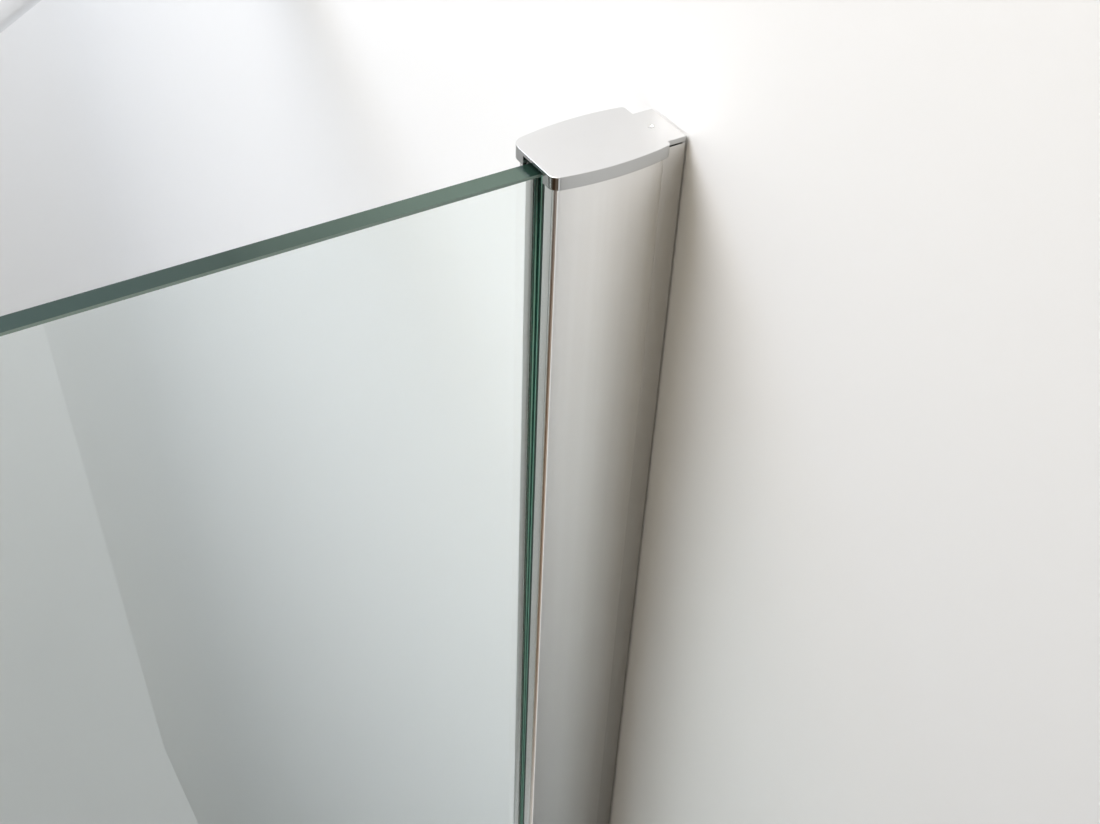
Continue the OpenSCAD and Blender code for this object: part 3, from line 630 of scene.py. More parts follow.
def makeFrameProfile():
    # the bowed outline with the chamber cut in from the rear and the pocket from the end
    endX, rearX = profileHigh[0], profileLow[0]
    ribRear = pocketX - profile["wall"]
    chamber = [(rearX, chamberOut), (ribRear, chamberOut), (ribRear, -chamberIn),
               (rearX, -chamberIn), (rearX, -chamberIn - 0.4)]
    pocket = [(endX, -pocketIn - 0.16), (endX - 0.04, -pocketIn - 0.04), (endX - 0.16, -pocketIn),
              (pocketX, -pocketIn), (pocketX, pocketOut), (endX - 0.16, pocketOut),
              (endX - 0.04, pocketOut + 0.04), (endX, pocketOut + 0.16)]
    section = joined(bowedHalf(capInset, 1), chamber, bowedHalf(capInset, -1), pocket)
    part = slab(section, profileLow[2], profileHigh[2], 0.05, guard=0.04)
    makePiece("frameProfile", [part], "bright_aluminium", profileMetal)


makeFrameProfile()

# Top cap: a plate with a skirt over the profile and a tail over the channel

cap = {"plate": 0.9, "skirt": 3.4, "wall": 1.0, "tail": 1.4, "tailOver": 0.2, "slot": 0.8,
       "rim": 0.09, "lowRim": 0.1, "rearCorner": 1.1, "pegLength": 8.0, "pegPlay": 2.0,
       "pegIn": (1.7, 3.7), "pegOut": (1.55, 2.35), "root": 1.0, "dimple": (5.0, 0.5),
       "dimpleRadius": 1.1, "dimpleDeep": 0.4, "dimpleTurns": 40}


def halfSkirt(side, endEdge, rearEdge):
    # one side of the skirt's section: out along the cap's outline and back one wall further in
    wall = cap["wall"]
    outer, inner = bowedHalf(0, side), bowedHalf(wall, side)[::-1]
    endCut = [(capHigh[0] - wall, side * endEdge), (capHigh[0], side * endEdge)]
    rearCut = [(capRear, side * rearEdge), (capRear + wall, side * rearEdge)]
    cuts = (endCut, rearCut) if side > 0 else (rearCut[::-1], endCut[::-1])
    return joined(cuts[0], outer, cuts[1], inner)


def tailCorners(inset=0.0):
    # the tail's outline behind the bowed one, with its two corners at the wall cut small
    out, low, cut = channelHigh[1] + cap["tailOver"] - inset, inset - chamberIn, 0.25
    return [(capRear, out), (0.6, out), (cut, out), (0.07 + inset, out - 0.07), (inset, out - cut),
            (inset, out - 0.6), (inset, low + 0.6), (inset, low + cut), (0.07 + inset, low + 0.07),
            (cut, low), (0.6, low), (capRear, low)]


def skirtLift(points):
    # the skirt's lower rear corner is a quarter circle: r - sqrt(r^2 - (r - s)^2), where s is
    # the distance from the rear edge
    r = cap["rearCorner"]
    s = np.clip(points[:, 0] - capRear, 0, r)
    return r - np.sqrt(r ** 2 - (r - s) ** 2)


def dimplePart():
    # a plug in a hole of the plate, whose top sinks by deep (1 + cos(pi r / R)) / 2
    (u, v), radius = cap["dimple"], cap["dimpleRadius"]
    r = np.linspace(radius, 0, 9)
    bowl = cap["dimpleDeep"] * (1 + np.cos(np.pi * r / radius)) / 2
    base = overall - 0.8 * cap["plate"]
    rows = np.concatenate([[(0, base), (radius, base)], np.stack([r, overall - bowl], 1)])
    return revolve(rows, upright(u, v), cap["dimpleTurns"])


def makeTopCap():
    low, top, rim = overall - cap["skirt"], overall - cap["plate"], (cap["lowRim"], 0.0)
    outline = joined(bowedHalf(0, 1), tailCorners(), bowedHalf(0, -1))
    hole = circleLoop(*cap["dimple"], cap["dimpleRadius"], cap["dimpleTurns"])
    under = tailCorners(0.02)
    under = np.array(under + [(capRear + cap["root"], v) for u, v in (under[-1], under[0])])
    parts = [slab(outline, top, overall, (0.0, cap["rim"]), holes=[hole], holeRim=0.0, guard=0.08),
             dimplePart(), slab(under, overall - cap["tail"], top + 0.2, rim, guard=0.08)]
    for side, endEdge, rearEdge in ((1, pocketOut + cap["slot"], chamberOut), (-1, pocketIn, chamberIn)):
        walls = [(halfSkirt(side, endEdge, rearEdge), rimmed(low, top, rim, guard=0.1))]
        parts.append(prism(walls, lift=skirtLift))
    start, end = pocketX + cap["pegPlay"], profileHigh[0] - profile["wall"] - cap["pegPlay"]
    (near, far), (first, last) = cap["pegIn"], cap["pegOut"]
    for corners in ((start, -pocketIn - far, end, -pocketIn - near),
                    (start, pocketOut + first, (start + end) / 2, pocketOut + last)):
        peg = rectangle(*corners, 0.2, 2)
        parts.append(slab(peg, top - cap["pegLength"], top + 0.3, 0.1, guard=0.05))
    makePiece("topCap", parts, "polished_cap", capMetal)


makeTopCap()

# Gaskets on both sides of the glass: dark rubber with a rib near the pocket's mouth, coloured lighter as
# painted highlight

gasket = {"noseBack": 0.15, "ribStart": 0.14, "ribWidth": 0.34, "lip": 0.5, "tapeHighlightRib": (0.25, 0.75),
          "skin": 0.02, "rim": 0.015}


def withRib(section, rib, low, high):
    # both carried up the profile, with the rib in the second finish, its painted highlight, and a little
    # shorter
    skin, rim = gasket["skin"], gasket["rim"]
    points, groups = slab(rib, low + skin, high - skin, rim, guard=0.01)
    return [slab(section, low, high, rim, guard=0.01), (points, [(faces, 1) for faces, finish in groups])]


def makeGaskets():
    low, high = localBox("glazing_wedge")
    nose, out = high[:2]
    back = nose - gasket["noseBack"]
    section = roundedLoop([
        (low[0], glassHalf, 0.15), (back - 0.1, glassHalf, 0.05), (back, glassHalf + 0.12, 0.05),
        (back, out - 0.2, 0.08), (back - 0.2, out, 0.08), (low[0] + 4, out, 0.5),
        (low[0], out - 0.5, 0.3)], 3, 0.04)
    start = glassHalf + gasket["ribStart"]
    rib = rectangle(back - 0.3, start, nose, start + gasket["ribWidth"], 0.1, 3)
    makePiece("glazingWedge", withRib(section, rib, low[2], high[2]), "wedge_rubber", wedgeRubber, wedgeHighlightRib)

    low, high = localBox("glazing_tape")
    end = high[0] + gasket["lip"]
    strip = rectangle(low[0], low[1], end, high[1] - gasket["skin"], 0.08, 3)
    near, far = gasket["tapeHighlightRib"]
    rib = rectangle(end - far, low[1] + 0.1, end - near, high[1] - 0.004, 0.06, 3)
    makePiece("glazingTape", withRib(strip, rib, low[2], high[2]), "tape_rubber", tapeRubber, tapeHighlightRib)


makeGaskets()

# Panes: a face, a narrow arris and a polished edge, with holes for the fittings

pane = {"arris": 0.45, "hole": 7.0, "leafStart": 9.0, "leafWidth": 40.0, "screwPitch": 44.0,
        "hingeEnd": 250.0, "hingeHeight": 80.0, "knuckle": 8.0, "pad": 1.0, "corner": 1.2}
plateY = glassHalf + pane["pad"]
hingeX, hingeY = (paneHigh[0] + doorLow[0]) / 2, plateY + pane["knuckle"]
hingeHeights = (pane["hingeEnd"], overall - pane["hingeEnd"])
leafMid = pane["leafStart"] + pane["leafWidth"] / 2
screwHeights = [z + s * pane["screwPitch"] / 2 for z in hingeHeights for s in (-1, 1)]
handleLow, handleHigh = localBox("handle_outer")
handleX = (handleLow[0] + handleHigh[0]) / 2
washerLow, washerHigh = localBox("handle_washers")
washerRadius = (washerHigh[0] - washerLow[0]) / 2
postHeights = (washerLow[2] + washerRadius, washerHigh[2] - washerRadius)


def paneOf(low, high, holes):
    arris = pane["arris"]
    stations = [(-glassHalf, arris), (-glassHalf + arris, 0), (glassHalf - arris, 0), (glassHalf, arris)]
    loops = [rectangle(low[0], low[2], high[0], high[2], pane["corner"], 4)]
    loops += [circleLoop(x, z, pane["hole"], 40) for x, z in holes]
    return prism([(loop, stations) for loop in loops], facing(), bands=[2, 1, 2])


def makePanes():
    fixedHoles = [(hingeX - leafMid, z) for z in screwHeights]
    doorHoles = [(hingeX + leafMid, z) for z in screwHeights] + [(handleX, z) for z in postHeights]
    makePiece("fixedPane", [paneOf(paneLow, paneHigh, fixedHoles)], "clear_glass", *paneFinishes)
    makePiece("doorPane", [paneOf(doorLow, doorHigh, doorHoles)], "clear_glass", *paneFinishes, onDoor=True)


makePanes()
print("profile, cap, gaskets and panes made")

# Hinges: plates that clamp the glass, knuckles on a pin, and screws from inside

hinge = {"thick": 5.0, "corner": 4.0, "rim": 0.7, "doorKnuckle": 28.0, "gap": 0.3, "pin": 4.05,
         "screwHole": 5.1, "head": 5.0, "headHeight": 3.0, "socket": 2.1, "socketDeep": 1.9,
         "shank": 3.0, "finial": 2.0, "fillet": 1.6, "overlap": 1.2}


def leafPlate(side, place, holes):
    # the flat plate of a leaf, as (x, z) on the door's side of the axis or on the pane's
    start, width, tall = pane["leafStart"], pane["leafWidth"], pane["hingeHeight"]
    u0, u1 = sorted((side * start, side * (start + width)))
    outline = rectangle(u0, -tall / 2, u1, tall / 2, hinge["corner"], 8)
    inset = [circleLoop(side * leafMid, s * pane["screwPitch"] / 2, hinge["screwHole"])
             for s in (-1, 1)] if holes else []
    return slab(outline, 0, hinge["thick"], hinge["rim"], place, inset, 0.25)


def knucklePart(side, low, high, z):
    # a knuckle round the pin that runs tangent into its plate: the section is a circle with a
    # foot, and the centre of the fillet between them lies fillet above the plate and
    # radius + fillet from the axis
    radius, fillet = pane["knuckle"], hinge["fillet"]
    top = plateY + hinge["thick"] - hingeY
    centre = -math.sqrt((radius + fillet) ** 2 - (top + fillet) ** 2)
    touch = math.atan2(top + fillet, centre) % (2 * math.pi)
    ring = np.linspace(-math.pi / 2, touch, 44)
    back = np.linspace(touch - math.pi, -math.pi / 2, 7)[1:]
    foot = -pane["leafStart"] - hinge["overlap"]
    section = joined(arc(0, 0, radius, ring), arc(centre, top + fillet, fillet, back),
                     [(foot, top), (foot, -radius), (-2.0, -radius)])
    section = section[::-1] * [-1, 1] if side > 0 else section
    bore = circleLoop(0, 0, hinge["pin"], 32)
    return slab(section, low, high, 0.35, upright(hingeX, hingeY, z), [bore], 0.2)


def pinPart(place, tall):
    # pin with a domed finial at each end
    radius, finial, pin = pane["knuckle"], hinge["finial"], hinge["pin"] - 0.05
    t = quarter(6)[:-1]
    dome = np.stack([(radius - 0.9) * np.cos(t) ** 0.5, tall + 0.7 + (finial - 0.7) * np.sin(t)], 1)
    half = np.concatenate([
        [(pin, tall - 0.01), (radius - 0.35, tall), (radius - 0.12, tall + 0.12),
         (radius - 0.1, tall + 0.45), (radius - 0.35, tall + 0.62), (radius - 0.85, tall + 0.66)],
        dome, [(0, tall + finial)]])
    return revolve(np.concatenate([half[::-1] * [1, -1], half]), place)


def headParts(place, shank):
    # socket head: a round head with a hexagon socket, over a disc and its shank
    head, deep, tall = hinge["head"], hinge["socketDeep"], hinge["headHeight"]
    hexagon = circleLoop(0, 0, hinge["socket"], 6)
    return [slab(circleLoop(0, 0, head, 48), 0.05, deep, (0.5, 0.0), place, [hexagon], 0.12),
            revolve(roundedRod(head, deep - 0.05, tall, 0.05), place),
            revolve(roundedRod(hinge["shank"], tall - 0.2, shank, 0.3), place, 32)]


def screwSet(side):
    start = plateY + hinge["thick"]
    shank = 2 * start - 1.3
    return [part for z in screwHeights
            for part in headParts(facing(hingeX + side * leafMid, -start, z), shank)]


def makeHinges():
    tall, middle, gap = pane["hingeHeight"] / 2, hinge["doorKnuckle"] / 2, hinge["gap"]
    halves = (("hingeFixed", -1, [(-tall, -middle - gap), (middle + gap, tall)], False),
              ("hingeDoor", 1, [(-middle, middle)], True))
    for name, side, knuckles, onDoor in halves:
        leaf = []
        for z in hingeHeights:
            leaf += [leafPlate(side, facing(hingeX, plateY, z), False)]
            leaf += [knucklePart(side, *ends, z) for ends in knuckles]
        makePiece(name + "Leaf", leaf, "chrome", chrome, onDoor=onDoor)
    for name, side, knuckles, onDoor in halves:
        back = [leafPlate(side, inwardFacing(hingeX, -plateY, z), True) for z in hingeHeights]
        makePiece(name + "Backplate", back, "chrome", chrome, onDoor=onDoor)
    pins = [pinPart(upright(hingeX, hingeY, z), tall) for z in hingeHeights]
    makePiece("hingePins", pins, "chrome", chrome, together=True)
    makePiece("hingeDoorScrews", screwSet(1), "screw_steel", steel, onDoor=True)
    makePiece("hingeFixedScrews", screwSet(-1), "screw_steel", steel, together=True)


makeHinges()

# Handles: a bar with round ends on two posts that flare into it

handle = {"bar": 8.0, "post": 6.0, "end": 1.6, "flare": 1.7, "flareLength": 5.0, "sink": 0.25,
          "collar": 0.5, "rod": 4.1, "turns": 48, "steps": 14}


def postPart(foot, barY, place):
    # a post from its foot into a bar across it. At angle a its edge is r cos a off the bar's
    # middle, so it ends at barY - sqrt(R^2 - (r cos a)^2), and near there its radius grows by
    # flare (1 - s)^3. The rings lie closer towards the bar: v = 1 - (1 - t)^1.8.
    post, flare = handle["post"], handle["flare"]
    angle = np.arange(handle["turns"]) * 2 * np.pi / handle["turns"]
    last = barY - np.sqrt(handle["bar"] ** 2 - ((post + flare) * np.cos(angle)) ** 2)
    last = last + handle["sink"]
    v = 1 - (1 - np.linspace(0, 1, handle["steps"])[:, None]) ** 1.8
    height = foot + v * (last - foot)
    radius = post + flare * (1 - np.clip((last - height) / handle["flareLength"], 0, 1)) ** 3
    radius = np.concatenate([0.7 * radius[:1], radius, 0.7 * radius[-1:]])
    height = np.concatenate([height[:1], height, height[-1:]])
    return tube(ringsOf(radius, height, handle["turns"]), place, (foot, last.mean()))


def makeHandles():
    radius, foot = handle["bar"], washerHigh[1]
    barY = handleHigh[1] - radius
    for name, side, way in (("handleOuter", 1, facing), ("handleInner", -1, inwardFacing)):
        bar = roundedRod(radius, handleLow[2], handleHigh[2], handle["end"], 6)
        parts = [revolve(bar, upright(handleX, side * barY), 64)]
        for place in [way(handleX, 0, z) for z in postHeights]:
            collar = roundedRod(handle["post"] + handle["collar"], foot, foot + 1.6, 0.35)
            parts += [postPart(foot, barY, place), revolve(collar, place)]
        makePiece(name, parts, "chrome", chrome, onDoor=True)
    ring = [(handle["rod"], 0), (washerRadius - 0.25, 0), (washerRadius, 0.25), (washerRadius, 0.75),
            (washerRadius - 0.25, 1.0), (handle["rod"], 1.0)]
    washers = [revolve(np.array(ring) + [0, glassHalf], way(handleX, 0, z), looped=True)
               for z in postHeights for way in (facing, inwardFacing)]
    makePiece("handleWashers", washers, "washer_plastic", washerPlastic, onDoor=True)


makeHandles()
print("hinges and handles made")

# Brace: a clamp on the pane's top edge, a bar at 45 degrees and a flange on the wall

brace = {"inset": 22.0, "bar": 6.0, "socket": 9.5, "clampSocket": 34.0, "wallSocket": 30.0,
         "bite": 16.0, "clampWidth": 30.0, "clampWall": 5.0, "clampHeight": 20.0, "flange": 18.0,
         "flangeThick": 5.0, "pitch": 27.0, "hole": 2.2, "rootX": 2.0, "turns": 56}


def socketPart(base, mouth, place):
    # a socket from a base slanted by 45 degrees, at base - radius cos a, to a square mouth with a
    # round rim, bored for the bar: outer wall up, rim, then the bore down to its floor
    radius, bore, rim, turns = brace["socket"], brace["bar"] + 0.05, 0.5, brace["turns"]
    floor = mouth - brace["bite"]
    rows = [(radius, 0), (radius, mouth - rim - 0.4), *arc(radius - rim, mouth - rim, rim, quarter(4)),
            (bore + 0.2, mouth), (bore, mouth - 0.2), (bore, floor)]
    rings = ringsOf(*np.array(rows).T[:, :, None], turns)
    rings[0, :, 2] = base - rings[0, :, 0]
    return tube(rings, place, (rings[0, :, 2].mean(), floor))


def makeBrace():
    x, z = paneHigh[0] - brace["inset"], glassTop - brace["clampHeight"] / 2
    # w runs at 45 degrees from the middle of the glass towards the wall; v points up
    s = math.sqrt(0.5)
    turn = np.array([[s, -s, 0], [0, 0, 1], [-s, -s, 0]])

    def along(p):
        return p @ turn + [x, 0, z]

    def backwards(p):
        return along(p * [1, 1, -1])

    clampEnd, wallStart = brace["clampSocket"], x / s - brace["wallSocket"]
    bite = brace["bite"] - 0.3
    bar = revolve(roundedRod(brace["bar"], clampEnd - bite, wallStart + bite, 0.4), along)
    makePiece("braceBar", [bar], "chrome", chrome)
    slot, out = plateY, plateY + brace["clampWall"]
    low, roof = glassTop - brace["clampHeight"], glassTop + pane["pad"]
    high = roof + brace["clampWall"]
    fork = roundedLoop([
        (out, low, 0.9), (out, high, 1.8), (-out, high, 1.8), (-out, low, 0.9), (-slot, low, 0.5),
        (-slot, roof, 0.2), (slot, roof, 0.2), (slot, low, 0.5)], 6)
    half = brace["clampWidth"] / 2
    # the sockets start in the middle of the clamp's inner wall and inside the flange's disc
    clamp = [slab(fork, x - half, x + half, 0.35, alongX, guard=0.08),
             socketPart((slot + out) / 2 / s, clampEnd, along)]
    makePiece("braceClamp", clamp, "chrome", chrome)
    holes = [circleLoop(-x, z + up * brace["pitch"] / 2, brace["hole"], 28) for up in (-1, 1)]
    disc = circleLoop(-x, z, brace["flange"], 72)
    flange = [slab(disc, 0, brace["flangeThick"], (0.1, 1.4), alongX, holes, (0.1, 0.5), steps=5),
              socketPart((brace["rootX"] - x) / s, -wallStart, backwards)]
    makePiece("braceFlange", flange, "chrome", chrome)


makeBrace()

# Seals, from clear plastic

seal = {"thick": 1.2, "leg": 9.0, "magnetGap": 0.3, "magnetDeep": 0.8, "magnetThick": 2.0,
        "magnetWide": 6.0, "magnetShift": 1.2, "fit": 0.05, "soft": 0.25, "gap": 0.3, "bulbWall": 0.5}


def clipCorners(bottom, floor, top, side=1):
    # the corners of a channel round the glass that opens upwards
    near, far, soft = side * glassHalf, side * (glassHalf + seal["thick"]), seal["soft"]
    return [(far, bottom, soft), (far, top, soft), (near, top, soft), (near, floor, 0.1),
            (-near, floor, 0.1), (-near, top, soft), (-far, top, soft), (-far, bottom, soft)]


def makeLevelSeals():
    # a channel under the fixed pane, and one under the door with two blades
    low, high = localBox("foot_seal")
    channel = roundedLoop(clipCorners(low[2], paneLow[2], high[2]), 3)
    foot = slab(channel, low[0], high[0], 0.05, alongX, guard=0.04)
    makePiece("footSeal", [foot], "clear_seal", levelSeal)
    low, high = localBox("drip_seal")
    under, blade = doorLow[2] - seal["thick"], seal["thick"] / 2
    near, far = glassHalf - blade, glassHalf + blade
    drip = roundedLoop(clipCorners(under, doorLow[2], high[2]) + [
        (-far, under, 0.1), (-far, low[2], 0.2), (-near, low[2], 0.2), (-near, under, 0.3),
        (near, under, 0.3), (near, low[2], 0.2), (far, low[2], 0.2), (far, under, 0.1)], 3, 0.05)
    part = slab(drip, low[0], high[0], 0.05, alongX, guard=0.05)
    makePiece("dripSeal", [part], "clear_seal", levelSeal, onDoor=True)


def makeHingeSeal():
    # a clip on the door's edge with a hollow bulb, left out at the hinges
    x, back = doorLow[0], doorLow[0] - seal["thick"]
    sealLow, sealHigh = localBox("hinge_seal")
    bulb = (back - sealLow[0] + 0.1) / 2
    bulbX = back - bulb + 0.1
    near = pane["hingeHeight"] / 2 + seal["gap"]
    ends = [sealLow[2], *(z + s * near for z in hingeHeights for s in (-1, 1)), sealHigh[2]]
    clip = roundedLoop([(v, u, r) for u, v, r in clipCorners(back, x, x + seal["leg"], -1)], 3)
    parts = []
    for low, high in zip(ends[::2], ends[1::2]):
        inside = circleLoop(bulbX, 0, bulb - seal["bulbWall"], 20)
        parts += [slab(clip, low, high, 0.05, guard=0.04),
                  prism([(circleLoop(bulbX, 0, bulb, 28), rimmed(low, high, 0.05, guard=0.1)),
                         (inside, rimmed(low, high, 0.02, guard=0.02))])]
    makePiece("hingeSeal", parts, "clear_seal", uprightSeal, onDoor=True)


def makeMagnetSeal():
    # the free edge's clip ends in a 45 degree face with a pocket for the magnetic strip:
    # (x, y) = (edge + s (gap + u - v), s (u + v)), with u along the face and v into the seal
    leg, soft, half, x = seal["leg"], seal["soft"], glassHalf + seal["thick"], doorHigh[0]
    low, high = localBox("magnet_seal")
    edge, s, fit = high[0] - high[1], math.sqrt(0.5), seal["fit"]
    section = roundedLoop([
        (x - leg, -half, soft), (edge - half, -half, soft), (edge + half, half, soft),
        (x - leg, half, soft), (x - leg, glassHalf, soft), (x, glassHalf, 0.1), (x, -glassHalf, 0.1),
        (x - leg, -glassHalf, soft)], 3)
    wide, shift = seal["magnetWide"] / 2 + fit, seal["magnetShift"]
    near = seal["magnetGap"] / 2 + seal["magnetDeep"] - fit
    far = near + seal["magnetThick"] + 2 * fit
    u, v = np.array([(-wide, near), (wide, near), (wide, far), (-wide, far)]).T - [[shift], [0]]
    strip = np.stack([edge + s * (seal["magnetGap"] + u - v), s * (u + v)], 1)
    magnet = prism([(section, rimmed(low[2], high[2], 0.05, guard=0.04)),
                    (strip, rimmed(low[2], high[2], 0.0, guard=0.02))])
    makePiece("magnetSeal", [magnet], "clear_seal", uprightSeal, onDoor=True)


makeLevelSeals()
makeHingeSeal()
makeMagnetSeal()

# Threshold bars: a low ramp on both sides, cut at 45 degrees where the two bars meet

threshold = {"top": 8.0, "toe": 1.0}


def makeThreshold():
    low, high = localBox("threshold_bar")
    half, tall = high[1:]
    top, toe = threshold["top"] / 2, threshold["toe"]
    section = roundedLoop([
        (half, 0, 0.1), (half, toe, 0.5), (top, tall, 1.4), (-top, tall, 1.4), (-half, toe, 0.5),
        (-half, 0, 0.1)], 6)
    span = high[0] - half - low[0]

    def place(p):
        # w runs from 0 at the start to 1 at the mitre, where x is start + span + y
        u, v, w = p.T
        return np.stack([low[0] + w * (span + u), u, v], 1)

    rows = [(0, 0.25), (0.08 / span, 0.06), (0.3 / span, 0), (1 - 0.3 / span, 0), (1, 0)]
    makePiece("thresholdBar", [prism([(section, rows)], place)], "bright_aluminium", thresholdMetal)


makeThreshold()

# Locking screws: pan heads with a cross recess, inside the enclosure

lock = {"head": 4.0, "height": 2.0, "edge": 0.9, "shank": 2.0, "tip": 2.6, "each": 3, "turns": 48,
        "stand": 0.08, "slotWidth": 0.42, "slotReach": 2.3, "slotEnd": 0.5, "slotDeep": 1.2}


def panHead(place):
    # height: a dome edge + (h - edge) (1 - (r / R)^3), less a cross recess that falls off away
    # from two crossed slots by exp(-(d / width)^4)
    turns, radius, edge = lock["turns"], lock["head"], lock["edge"]
    r = np.concatenate([np.linspace(0.04, 0.75, 16), np.linspace(0.8, 1, 8)])[::-1, None] * radius
    dome = edge + (lock["height"] - edge) * (1 - (r / radius) ** 3)
    rings = ringsOf(np.concatenate([[[radius]], r]), np.concatenate([[[0]], dome]), turns)
    u, v = np.abs(rings[1:, :, 0]), np.abs(rings[1:, :, 1])
    cross = np.exp(-(np.minimum(u, v) / lock["slotWidth"]) ** 4)
    reach = np.clip((lock["slotReach"] - np.maximum(u, v)) / lock["slotEnd"], 0, 1)
    rings[1:, :, 2] -= lock["slotDeep"] * cross * reach
    return tube(rings, place, (0, rings[-1, :, 2].mean()))


def makeLockScrews():
    face = lock["stand"] - profileLow[1]
    shank = roundedRod(lock["shank"], -(face + channelLow[1]) - lock["tip"], 0.2, 0.2)
    parts = []
    for z in np.linspace(*hingeHeights, lock["each"]):
        place = inwardFacing((profileLow[0] + channelHigh[0]) / 2, -face, z)
        parts += [panHead(place), revolve(shank, place, 24)]
    makePiece("lockScrews", parts, "screw_steel", steel, together=True)


makeLockScrews()
print("brace, seals, thresholds and screws made")

# What the CAD already shapes well keeps its mesh: a fine bevel and a finish are added

padFinish, steelFinish = ("pad_rubber", padRubber), ("screw_steel", steel)
keptNodes = {"wall_channel": (0.15, "channel_aluminium", channelMetal), "setting_blocks": (0.3, *padFinish),
             "hinge_fixed_pads": (0.15, *padFinish), "hinge_door_pads": (0.15, *padFinish),
             "magnet_strip": (0.15, "magnet", magnetCore), "handle_rods": (0.2, *steelFinish),
             "brace_pads": (0.15, *padFinish), "brace_screws": (0.15, *steelFinish)}
keptLook = {"weld": 0.01, "segments": 2, "sharpest": 40}


def finishNode(node, bevel, slotName, material):
    node.data.materials.clear()
    node.data.materials.append(material)
    weld = node.modifiers.new("weld", "WELD")
    weld.merge_threshold = keptLook["weld"] * mm
    edge = node.modifiers.new("edge", "BEVEL")
    edge.width, edge.segments = bevel * mm, keptLook["segments"]
    edge.limit_method, edge.angle_limit = "ANGLE", math.radians(keptLook["sharpest"])


for name, finish in keptNodes.items():
    for node in (name, name + "_a", name + "_b"):
        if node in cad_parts:
            finishNode(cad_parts[node], *finish)
print("kept nodes finished")

# Studio: a pale floor, a pale backdrop along the two room walls that shows from its front
# only, lamps, and cards that only reflections see. Lengths are in metres. Both fades end in the
# world's tone. Reflections of the walls are painted darker, as painted shade, from shadeEnd down to
# shadeStart, where a place further out counts as higher by slope times its distance. The walls
# outside the enclosure get a touch of painted shade by outerShade.

studio = {"floorSize": 9.0, "floorColour": (0.78, 0.78, 0.775), "floorFade": (0.7, 1.9),
          "wallColour": (0.8, 0.8, 0.795), "wallWidth": 2.2, "wallHeight": 2.7, "wallFade": (0.9, 1.6),
          "cove": 0.22, "back": 0.0006, "outside": (0.4, 0.42), "outerShade": 0.06, "slope": 1.3,
          "shadeStart": 2.1, "shadeEnd": 2.56, "wallShade": 0.52, "world": 0.09, "seen": 0.93}
# each lamp's place, size, power, colour and spread
lamps = {"overheadLamp": ((0.1, -0.1, 2.65), 0.9, 21.0, (0.82, 0.88, 1), 180),
         "warmLamp": ((-0.1, 0.35, 2.5), 0.7, 6.4, (1, 0.87, 0.67), 180),
         "outerLamp": ((0.7, 2.0, 2.2), 1.2, 12.0, (1, 0.9, 0.76), 80)}
# each card's colour, and where it starts and ends
cards = {"flagCard": ((0.12, 0.06, 0.024), 48, 75), "tanCard": ((0.36, 0.29, 0.19), 75, 116),
         "roseCard": ((0.34, 0.275, 0.22), 16, 48)}
sector = {"corner": (0.036, 0.009, 0.004), "near": 1.1, "far": 3.8, "steps": 12}


def directRays(path):
    # 1 for what the camera, metal and glass see, 0 for rays that have met a diffuse surface
    seen = calc("MAXIMUM", path["Is Camera Ray"], path["Is Glossy Ray"])
    seen = calc("MAXIMUM", seen, path["Is Transmission Ray"])
    return calc("SUBTRACT", seen, path["Diffuse Depth"], True)


def clouded(where, scale, colour, share):
    # paint that gets darker by share in soft clouds
    cloud = noise(where, scale, 3.0)["Fac"]
    return blendColours(cloud, colour, tuple(share * c for c in colour))


def stageMaterial(name, colour, isWall):
    material, shader, where = newMaterial(name, Roughness=0.85, Specular_IOR_Level=0.1)
    material.cycles.emission_sampling = "NONE"
    tree = shader.id_data
    path = addNode(tree, "LightPath")
    paint, rays = clouded(where, 1.5, colour, 0.985), directRays(path)
    if isWall:
        # painted shade: the walls outside the enclosure are painted a touch darker, and what metal
        # reflects of them is painted darker towards the floor
        place = separate(where)
        distance = calc("MAXIMUM", place["X"], place["Y"])
        height = calc("ADD", place["Z"], calc("MULTIPLY", distance, studio["slope"]))
        shade = remap(height, studio["shadeStart"], studio["shadeEnd"], studio["wallShade"], 0.0)
        tone = addNode(tree, "Mix", {"Factor": path["Is Glossy Ray"], 2: studio["outerShade"], 3: shade})
        shade = calc("MULTIPLY", tone[0], remap(distance, *studio["outside"]))
        paint = blendColours(shade, paint, (0, 0, 0))
        rays = calc("SUBTRACT", rays, path["Is Glossy Ray"], True)
    else:
        distance = addNode(tree, "VectorMath", {0: where}, operation="LENGTH")["Value"]
    fade = remap(distance, *studio["wallFade" if isWall else "floorFade"], interpolation_type="SMOOTHSTEP")
    feed(shader, {"Base Color": paint})
    glow = addNode(tree, "Emission", {"Color": (1, 1, 1, 1), "Strength": studio["seen"]})[0]
    mixed = mixShaders(calc("MULTIPLY", fade, rays), shader.outputs[0], glow)
    if isWall:
        behind = addNode(tree, "NewGeometry")["Backfacing"]
        mixed = mixShaders(behind, mixed, addNode(tree, "BsdfTransparent")[0])
    feed(tree.nodes["Material Output"], {"Surface": mixed})
    return material


def stagePiece(name, points, faces, material):
    mesh = bpy.data.meshes.new(name)
    mesh.from_pydata(np.array(points).tolist(), [], np.array(faces).tolist())
    mesh.materials.append(material)
    mesh.shade_smooth()
    piece = addObject(name, mesh)
    return piece


def stripFaces(count):
    # faces between two rows of points, count to a row
    k = np.arange(count - 1)
    return np.stack([k, k + count, k + count + 1, k + 1], 1)


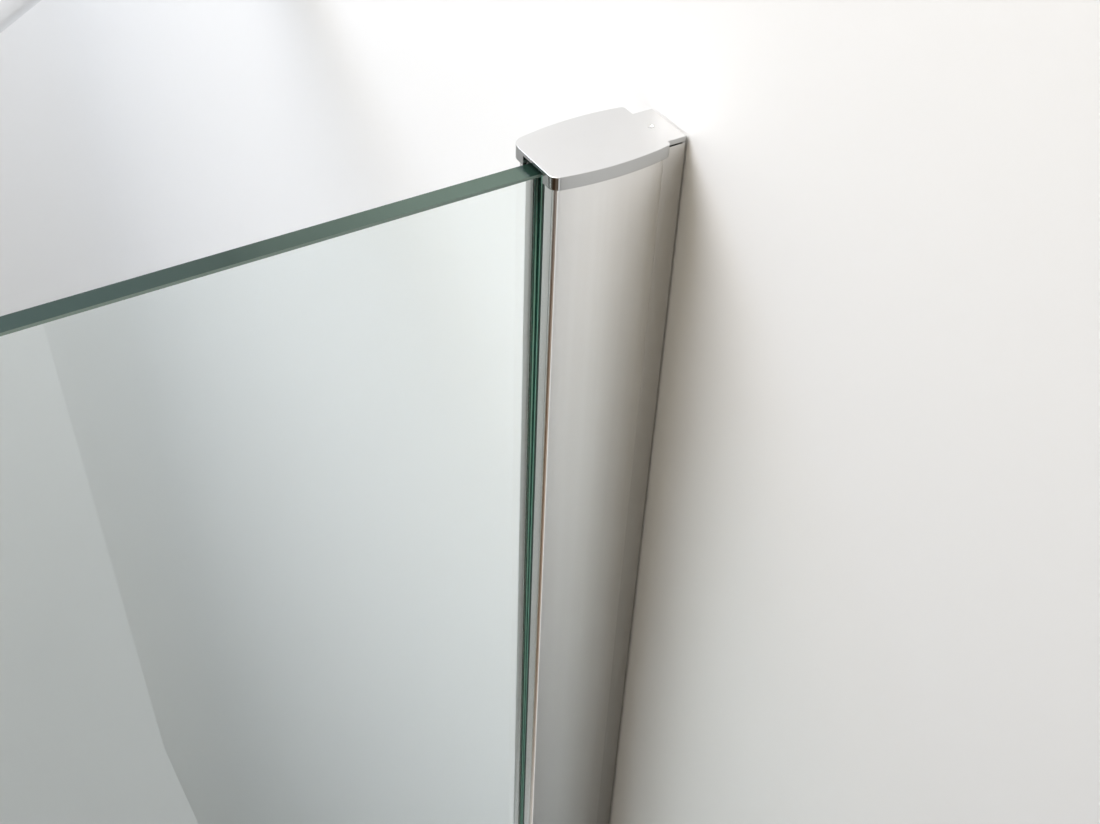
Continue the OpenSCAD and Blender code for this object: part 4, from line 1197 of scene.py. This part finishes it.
def makeStage():
    size, back = studio["floorSize"], studio["back"]
    floor = [(-size, -size, -back), (size, -size, -back), (size, size, -back), (-size, size, -back)]
    floorMaterial = stageMaterial("paleFloor", studio["floorColour"], False)
    stagePiece("studioFloor", floor, [[0, 1, 2, 3]], floorMaterial)
    # the backdrop's plan: along one wall, round a cove in the corner and along the other
    wall, cove, far = wallX - back, studio["cove"], wallX + studio["wallWidth"]
    bend = arc(wall + cove, wall + cove, -cove, quarter(24))
    plan = np.concatenate([[(wall, far)], bend, [(far, wall)]])
    rows = [np.pad(plan, ((0, 0), (0, 1)), constant_values=z) for z in (-back, studio["wallHeight"])]
    wallMaterial = stageMaterial("paleWall", studio["wallColour"], True)
    stagePiece("studioWalls", np.concatenate(rows), stripFaces(len(plan)), wallMaterial)


def makeWorld():
    world = bpy.data.worlds.new("studioWorld")
    bpy.context.scene.world = world
    world.use_nodes = True
    tree = world.node_tree
    background = tree.nodes["Background"]
    up = separate(addNode(tree, "NewGeometry")["Normal"])["Z"]
    # Normal points back from the sky, so low values are up
    glow = blendColours(remap(up, 0.6, -0.6), (0.5, 0.49, 0.48), (1.0, 1.0, 1.0))
    feed(background, {"Color": glow, "Strength": studio["world"]})
    # what the camera, metal and glass see of it is a plain pale tone, which lights nothing
    seen = addNode(tree, "Background", {"Color": (1, 1, 1, 1), "Strength": studio["seen"]})[0]
    rays = directRays(addNode(tree, "LightPath"))
    feed(tree.nodes["World Output"], {"Surface": mixShaders(rays, background.outputs[0], seen)})


def makeCards():
    # sectors of the floor, seen from the profile's top corner at azimuths from +y towards +x,
    # which give bright metal its brown streaks
    corner = np.array([wallX, glassY, 0]) + sector["corner"]
    for name, (colour, first, last) in cards.items():
        material, shader, where = newMaterial(name, Roughness=0.9)
        feed(shader, {"Base Color": clouded(where, 3.0, colour, 0.8)})
        azimuth = np.radians(np.linspace(first, last, sector["steps"] + 1))
        ring = np.stack([np.sin(azimuth), np.cos(azimuth), 0 * azimuth], 1)
        points = np.concatenate([corner + sector["near"] * ring, corner + sector["far"] * ring])
        piece = stagePiece(name, points, stripFaces(len(ring))[:, ::-1], material)
        piece.visible_camera = piece.visible_diffuse = False
        piece.visible_shadow = piece.visible_transmission = False


def makeLamps():
    # each looks straight down
    for name, (place, size, power, colour, spread) in lamps.items():
        lamp = bpy.data.lights.new(name, "AREA")
        lamp.shape, lamp.size, lamp.size_y = "RECTANGLE", size, size
        lamp.energy, lamp.color, lamp.spread = power, colour, math.radians(spread)
        holder = addObject(name, lamp)
        holder.location = place
        holder.visible_camera = False


makeStage()
makeWorld()
makeCards()
makeLamps()

# Camera: fitted to the photograph, from outside the fixed pane of side A, just above its cap

cameraFit = {"fromWall": 170.896, "outwards": 219.497, "aboveCap": 153.554, "lens": 43.02,
             "turn": (48.272, -1.757, 148.752)}


def makeCamera():
    data = bpy.data.cameras.new("photoCamera")
    data.sensor_width, data.lens = 36.0, cameraFit["lens"]
    data.clip_start, data.clip_end = 0.01, 60.0
    camera = addObject("photoCamera", data)
    place = [cameraFit["fromWall"], cameraFit["outwards"], overall + cameraFit["aboveCap"]]
    camera.location = toFrame(np.array([place]), "a")[0]
    camera.rotation_euler = Euler([math.radians(a) for a in cameraFit["turn"]], "XYZ")
    bpy.context.scene.camera = camera


makeCamera()
bpy.context.scene.view_settings.view_transform = "Standard"
print("studio and camera ready")
